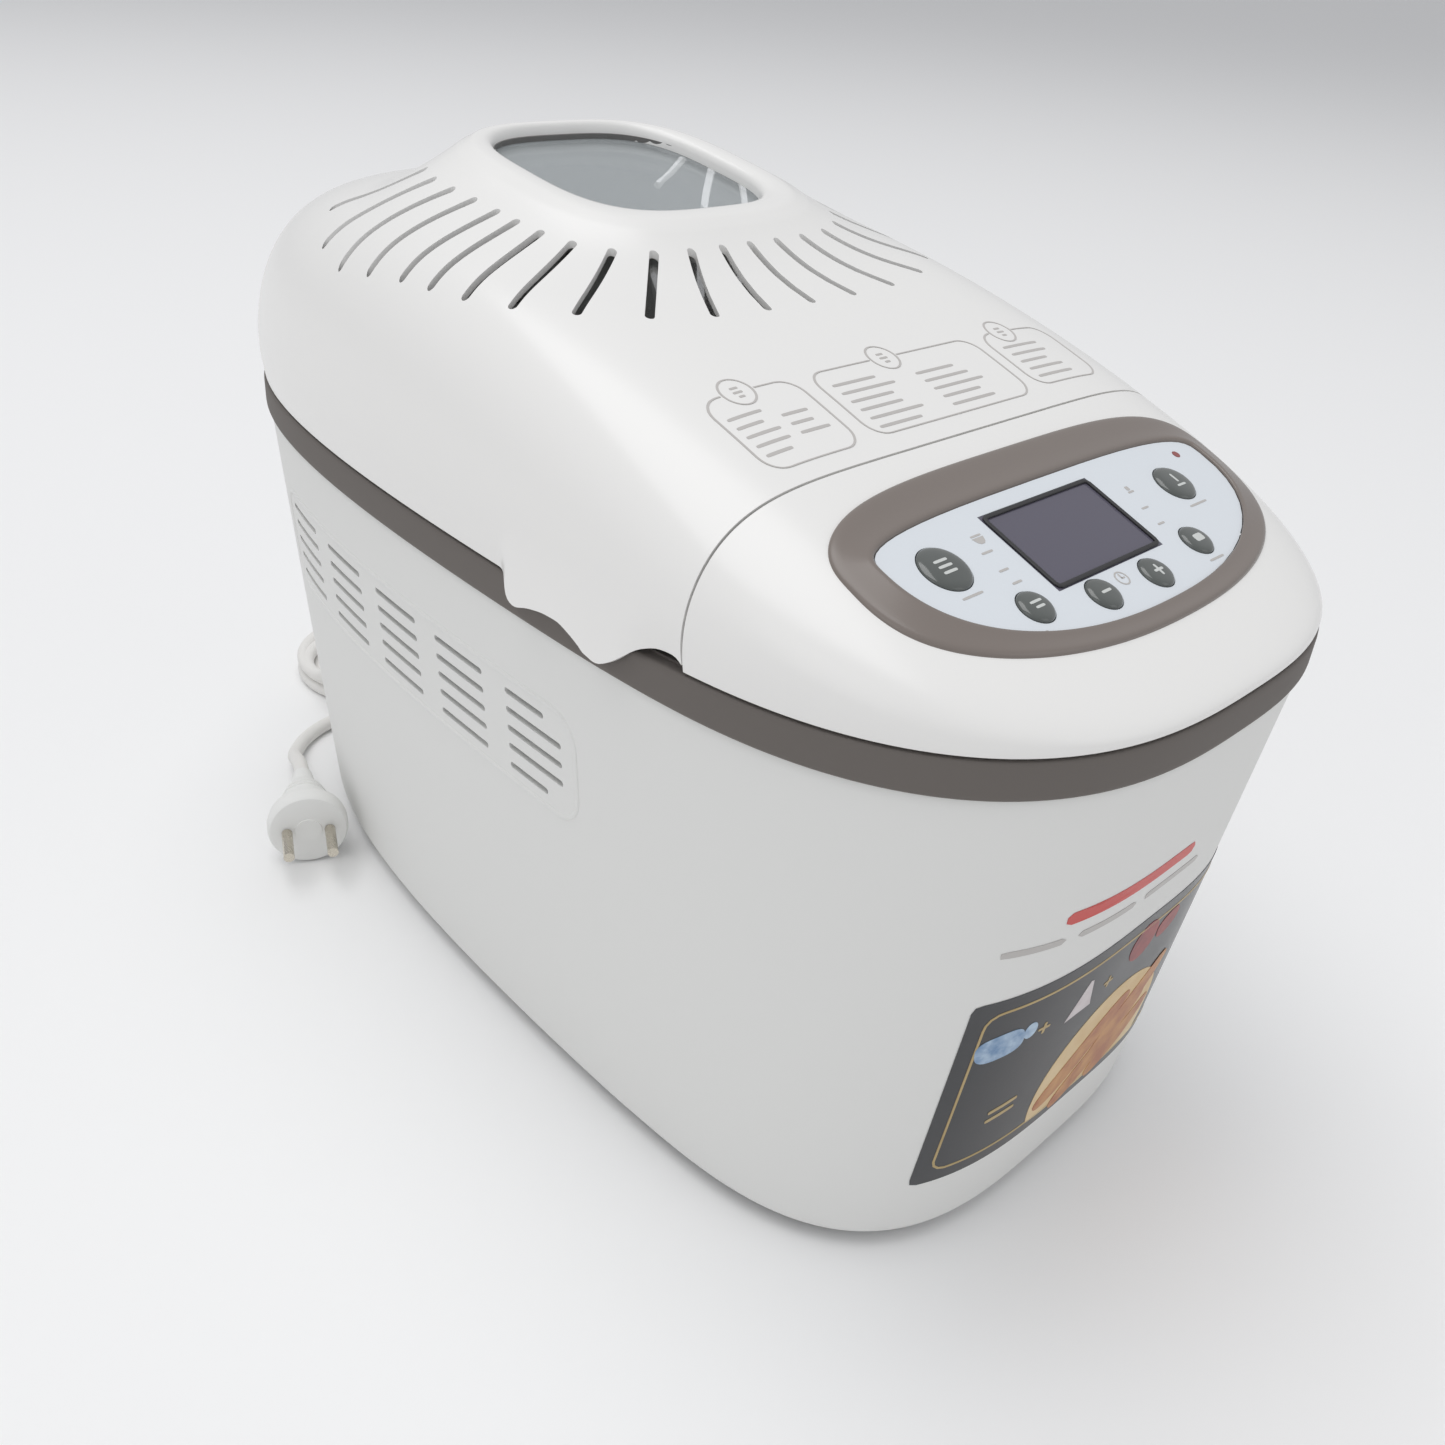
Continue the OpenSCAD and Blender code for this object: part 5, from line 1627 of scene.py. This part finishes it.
@dataclass
class BreadPan:
    """Deep coated pan with a rolled rim and the two bosses round its spindles."""

    centre_y: float = 30.0
    foot: tuple[float, float, float] = (124, 206, 24)
    mouth: tuple[float, float, float] = (136, 218, 27)
    foot_z: float = 73.0
    mouth_z: float = 201.0
    wall: float = 2.0
    shafts: tuple[float, float] = (-25.0, 85.0)

    def build(self) -> None:
        """Makes the pan with everything fixed to it."""
        loops = []
        for z, out in self.section():
            k = np.clip((z - self.foot_z) / (self.mouth_z - self.foot_z), 0, 1)
            w, l, r = (mix(a, b, k) for a, b in zip(self.foot, self.mouth))
            loop = rounded_loop(w + 2 * out, l + 2 * out, max(r + out, 2.5), 12) + [0, self.centre_y]
            loops.append(at_height(loop, z))
        middle = [np.array([[0, self.centre_y, z]]) + 0 * loops[0]
                  for z in (self.foot_z, self.foot_z + self.wall)]
        pan = Shape().grid(np.stack([middle[0], *loops, middle[1]]))
        for y in self.shafts:
            boss = np.array([(4.2, 74), (9.6, 74.6), (9.2, 76), (9, 81), (8.5, 82), (4.2, 82)])
            pan.grid(self.revolved(boss, y), wrap_rows=True)
        dress(pan.object("pan_pressing"), Finishes.pan, Body.PAN, ["bread_pan"], 40)

    def section(self) -> list[tuple[float, float]]:
        """Returns (height, distance out from the wall line) of the section, from under the floor to inside."""
        low, high, t = self.foot_z, self.mouth_z, self.wall
        turn = np.linspace(0, math.pi / 2, 8)
        under = [(low + 6 * (1 - math.cos(a)), -6 * (1 - math.sin(a))) for a in turn]
        inside = [(low + t + 5 * (1 - math.sin(a)), -t - 5 * (1 - math.cos(a))) for a in turn]
        wall = [(z, 0.0) for z in np.linspace(low + 14, high - 14, 8)]
        rim = [(high - 4.5, 0.0), (high - 3.2, 0.5), (high - 2.3, 1.8), (high - 2.6, 4.2), (high - 1.8, 5.0),
               (high - 0.7, 4.9), (high, 4.0), (high, 0.2), (high - 0.5, -1.3), (high - 2, -2.0)]
        down = [(z, -t) for z in np.linspace(high - 14, low + 14, 8)]
        return [(low, -30.0), (low, -12.0)] + under + wall + rim + down + inside + [
            (low + t, -13.0), (low + t, -30.0)]

    def revolved(self, profile: Points, y: float) -> Points:
        """Returns a closed section of (radius, height) turned about an upright shaft at y."""
        a = np.arange(48) * FULL_TURN / 48
        r, z = profile[:, :1], np.repeat(profile[:, 1:], 48, 1)
        return np.stack([r * np.cos(a), y + r * np.sin(a), z], -1)


@dataclass
class Paddle:
    """Kneading paddle: a bored hub and one blade that falls away towards its tip."""

    node: str
    body: Body
    shaft_y: float
    turn: float
    floor_z: float = 83.0

    def build(self) -> None:
        """Makes the paddle."""
        low = self.floor_z
        hub = np.array([(4.05, low), (8.4, low), (9, low + 0.8), (8.9, low + 8), (8.2, low + 20),
                        (7.2, low + 24), (5.8, low + 25.7), (4.05, low + 26)])
        ring = BreadPan().revolved(hub, self.shaft_y)
        s = np.linspace(0, 1, 14)
        height = mix(23.5, 12.0, s**0.9)
        half = mix(3.0, 1.9, s)
        tip = np.sqrt(np.clip(1 - np.clip((s - 0.9) / 0.1, 0, 1) ** 2 * 0.8, 0, 1))
        a = math.radians(self.turn)
        reach, bow = 5.0 + 33.0 * s, 5.0 * s * s - 1.0 * s
        path = np.stack([reach * math.cos(a) - bow * math.sin(a),
                         self.shaft_y + reach * math.sin(a) + bow * math.cos(a),
                         low + height / 2], 1)
        loop = superellipse(1, 1, 4.5, 28)
        section = np.stack([half[:, None] * tip[:, None] * loop[:, 0], height[:, None] / 2 * loop[:, 1]], -1)
        piece = Shape().grid(ring, wrap_rows=True).tube(path, section).object(self.node + "_casting")
        dress(piece, Finishes.paddle, self.body, [self.node], 42)


# --- Studio ---


@dataclass
class Studio:
    """Camera, pale floor and soft light."""

    place: tuple[float, float, float] = (-0.3605, -0.3558, 0.3950)
    turn: float = -47.195
    rise: float = 30.523
    roll: float = 4.931
    lens: float = 34.126
    floor_half: float = 40.0

    def camera(self) -> None:
        """Makes the camera: turned about the upright, raised, then rolled about its own axis."""
        a, e, r = (math.radians(v) for v in (self.turn, self.rise, self.roll))
        back = Vector((math.sin(a) * math.cos(e), -math.cos(a) * math.cos(e), math.sin(e)))
        right = Vector((0, 0, 1)).cross(back).normalized()
        above = back.cross(right)
        side = right * math.cos(r) + above * math.sin(r)
        up = above * math.cos(r) - right * math.sin(r)
        lens = bpy.data.cameras.new("camera")
        lens.lens, lens.sensor_width, lens.clip_start = self.lens, 36.0, 0.01
        made = bpy.data.objects.new("camera", lens)
        made.matrix_world = Matrix.Translation(self.place) @ Matrix((side, up, back)).transposed().to_4x4()
        bpy.context.scene.collection.objects.link(made)
        bpy.context.scene.camera = made

    def floor(self) -> None:
        """Makes the pale floor."""
        mesh = bpy.data.meshes.new("floor")
        far = self.floor_half
        mesh.from_pydata([(-far, -far, 0), (far, -far, 0), (far, far, 0), (-far, far, 0)], [], [(0, 1, 2, 3)])
        made = bpy.data.objects.new("floor", mesh)
        bpy.context.scene.collection.objects.link(made)
        pale = (0.92, 0.92, 0.918, 1)
        paint, shader = start_material("floor_paper", pale)
        shader.inputs["Base Color"].default_value = pale
        shader.inputs["Roughness"].default_value = 0.85
        mesh.materials.append(paint)

    def light(self, name: str, place: Sequence[float], aim: Sequence[float], size: float,
              power: float) -> None:
        """Makes one soft area light.

        Args:
            name: Its name.
            place: Where it stands, in metres.
            aim: The point that it faces.
            size: Side of its square face.
            power: Its power in watts.
        """
        lamp = bpy.data.lights.new(name, "AREA")
        lamp.shape, lamp.size, lamp.energy = "SQUARE", size, power
        made = bpy.data.objects.new(name, lamp)
        made.location = place
        made.rotation_euler = (Vector(aim) - Vector(place)).to_track_quat("-Z", "Y").to_euler()
        bpy.context.scene.collection.objects.link(made)

    def lights(self) -> None:
        """Makes the lights and the pale surroundings."""
        self.light("light_above", (-0.5, 0.6, 4.5), (0, 0, 0.2), 4.0, 105)
        self.light("light_left", (-2.0, -0.6, 1.3), (0, 0, 0.15), 1.4, 3)
        self.light("light_front", (0.8, -2.1, 1.0), (0, 0, 0.15), 1.2, 2)
        world = bpy.data.worlds.new("surroundings")
        world.use_nodes = True
        shade = world.node_tree.nodes["Background"]
        shade.inputs["Color"].default_value = (0.96, 0.97, 1.0, 1)
        shade.inputs["Strength"].default_value = 0.52
        bpy.context.scene.world = world
        bpy.context.scene.view_settings.view_transform = "Standard"


def main() -> None:
    """Builds the machine in order."""
    logging.basicConfig(level=logging.INFO, format="%(name)s: %(message)s")
    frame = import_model()
    studio = Studio()
    studio.camera()
    MainsLead().build()
    form = Form.from_frame()
    dress_nodes(frame["nodes"])
    for part in (Casing(form), TopCover(form), ControlPanel(form), BreadPan(),
                 Paddle("front_paddle", Body.FRONT_KNEADER, -25.0, 20.0),
                 Paddle("rear_paddle", Body.REAR_KNEADER, 85.0, 200.0)):
        part.build()
    studio.floor()
    studio.lights()


if __name__ == "__main__":
    main()
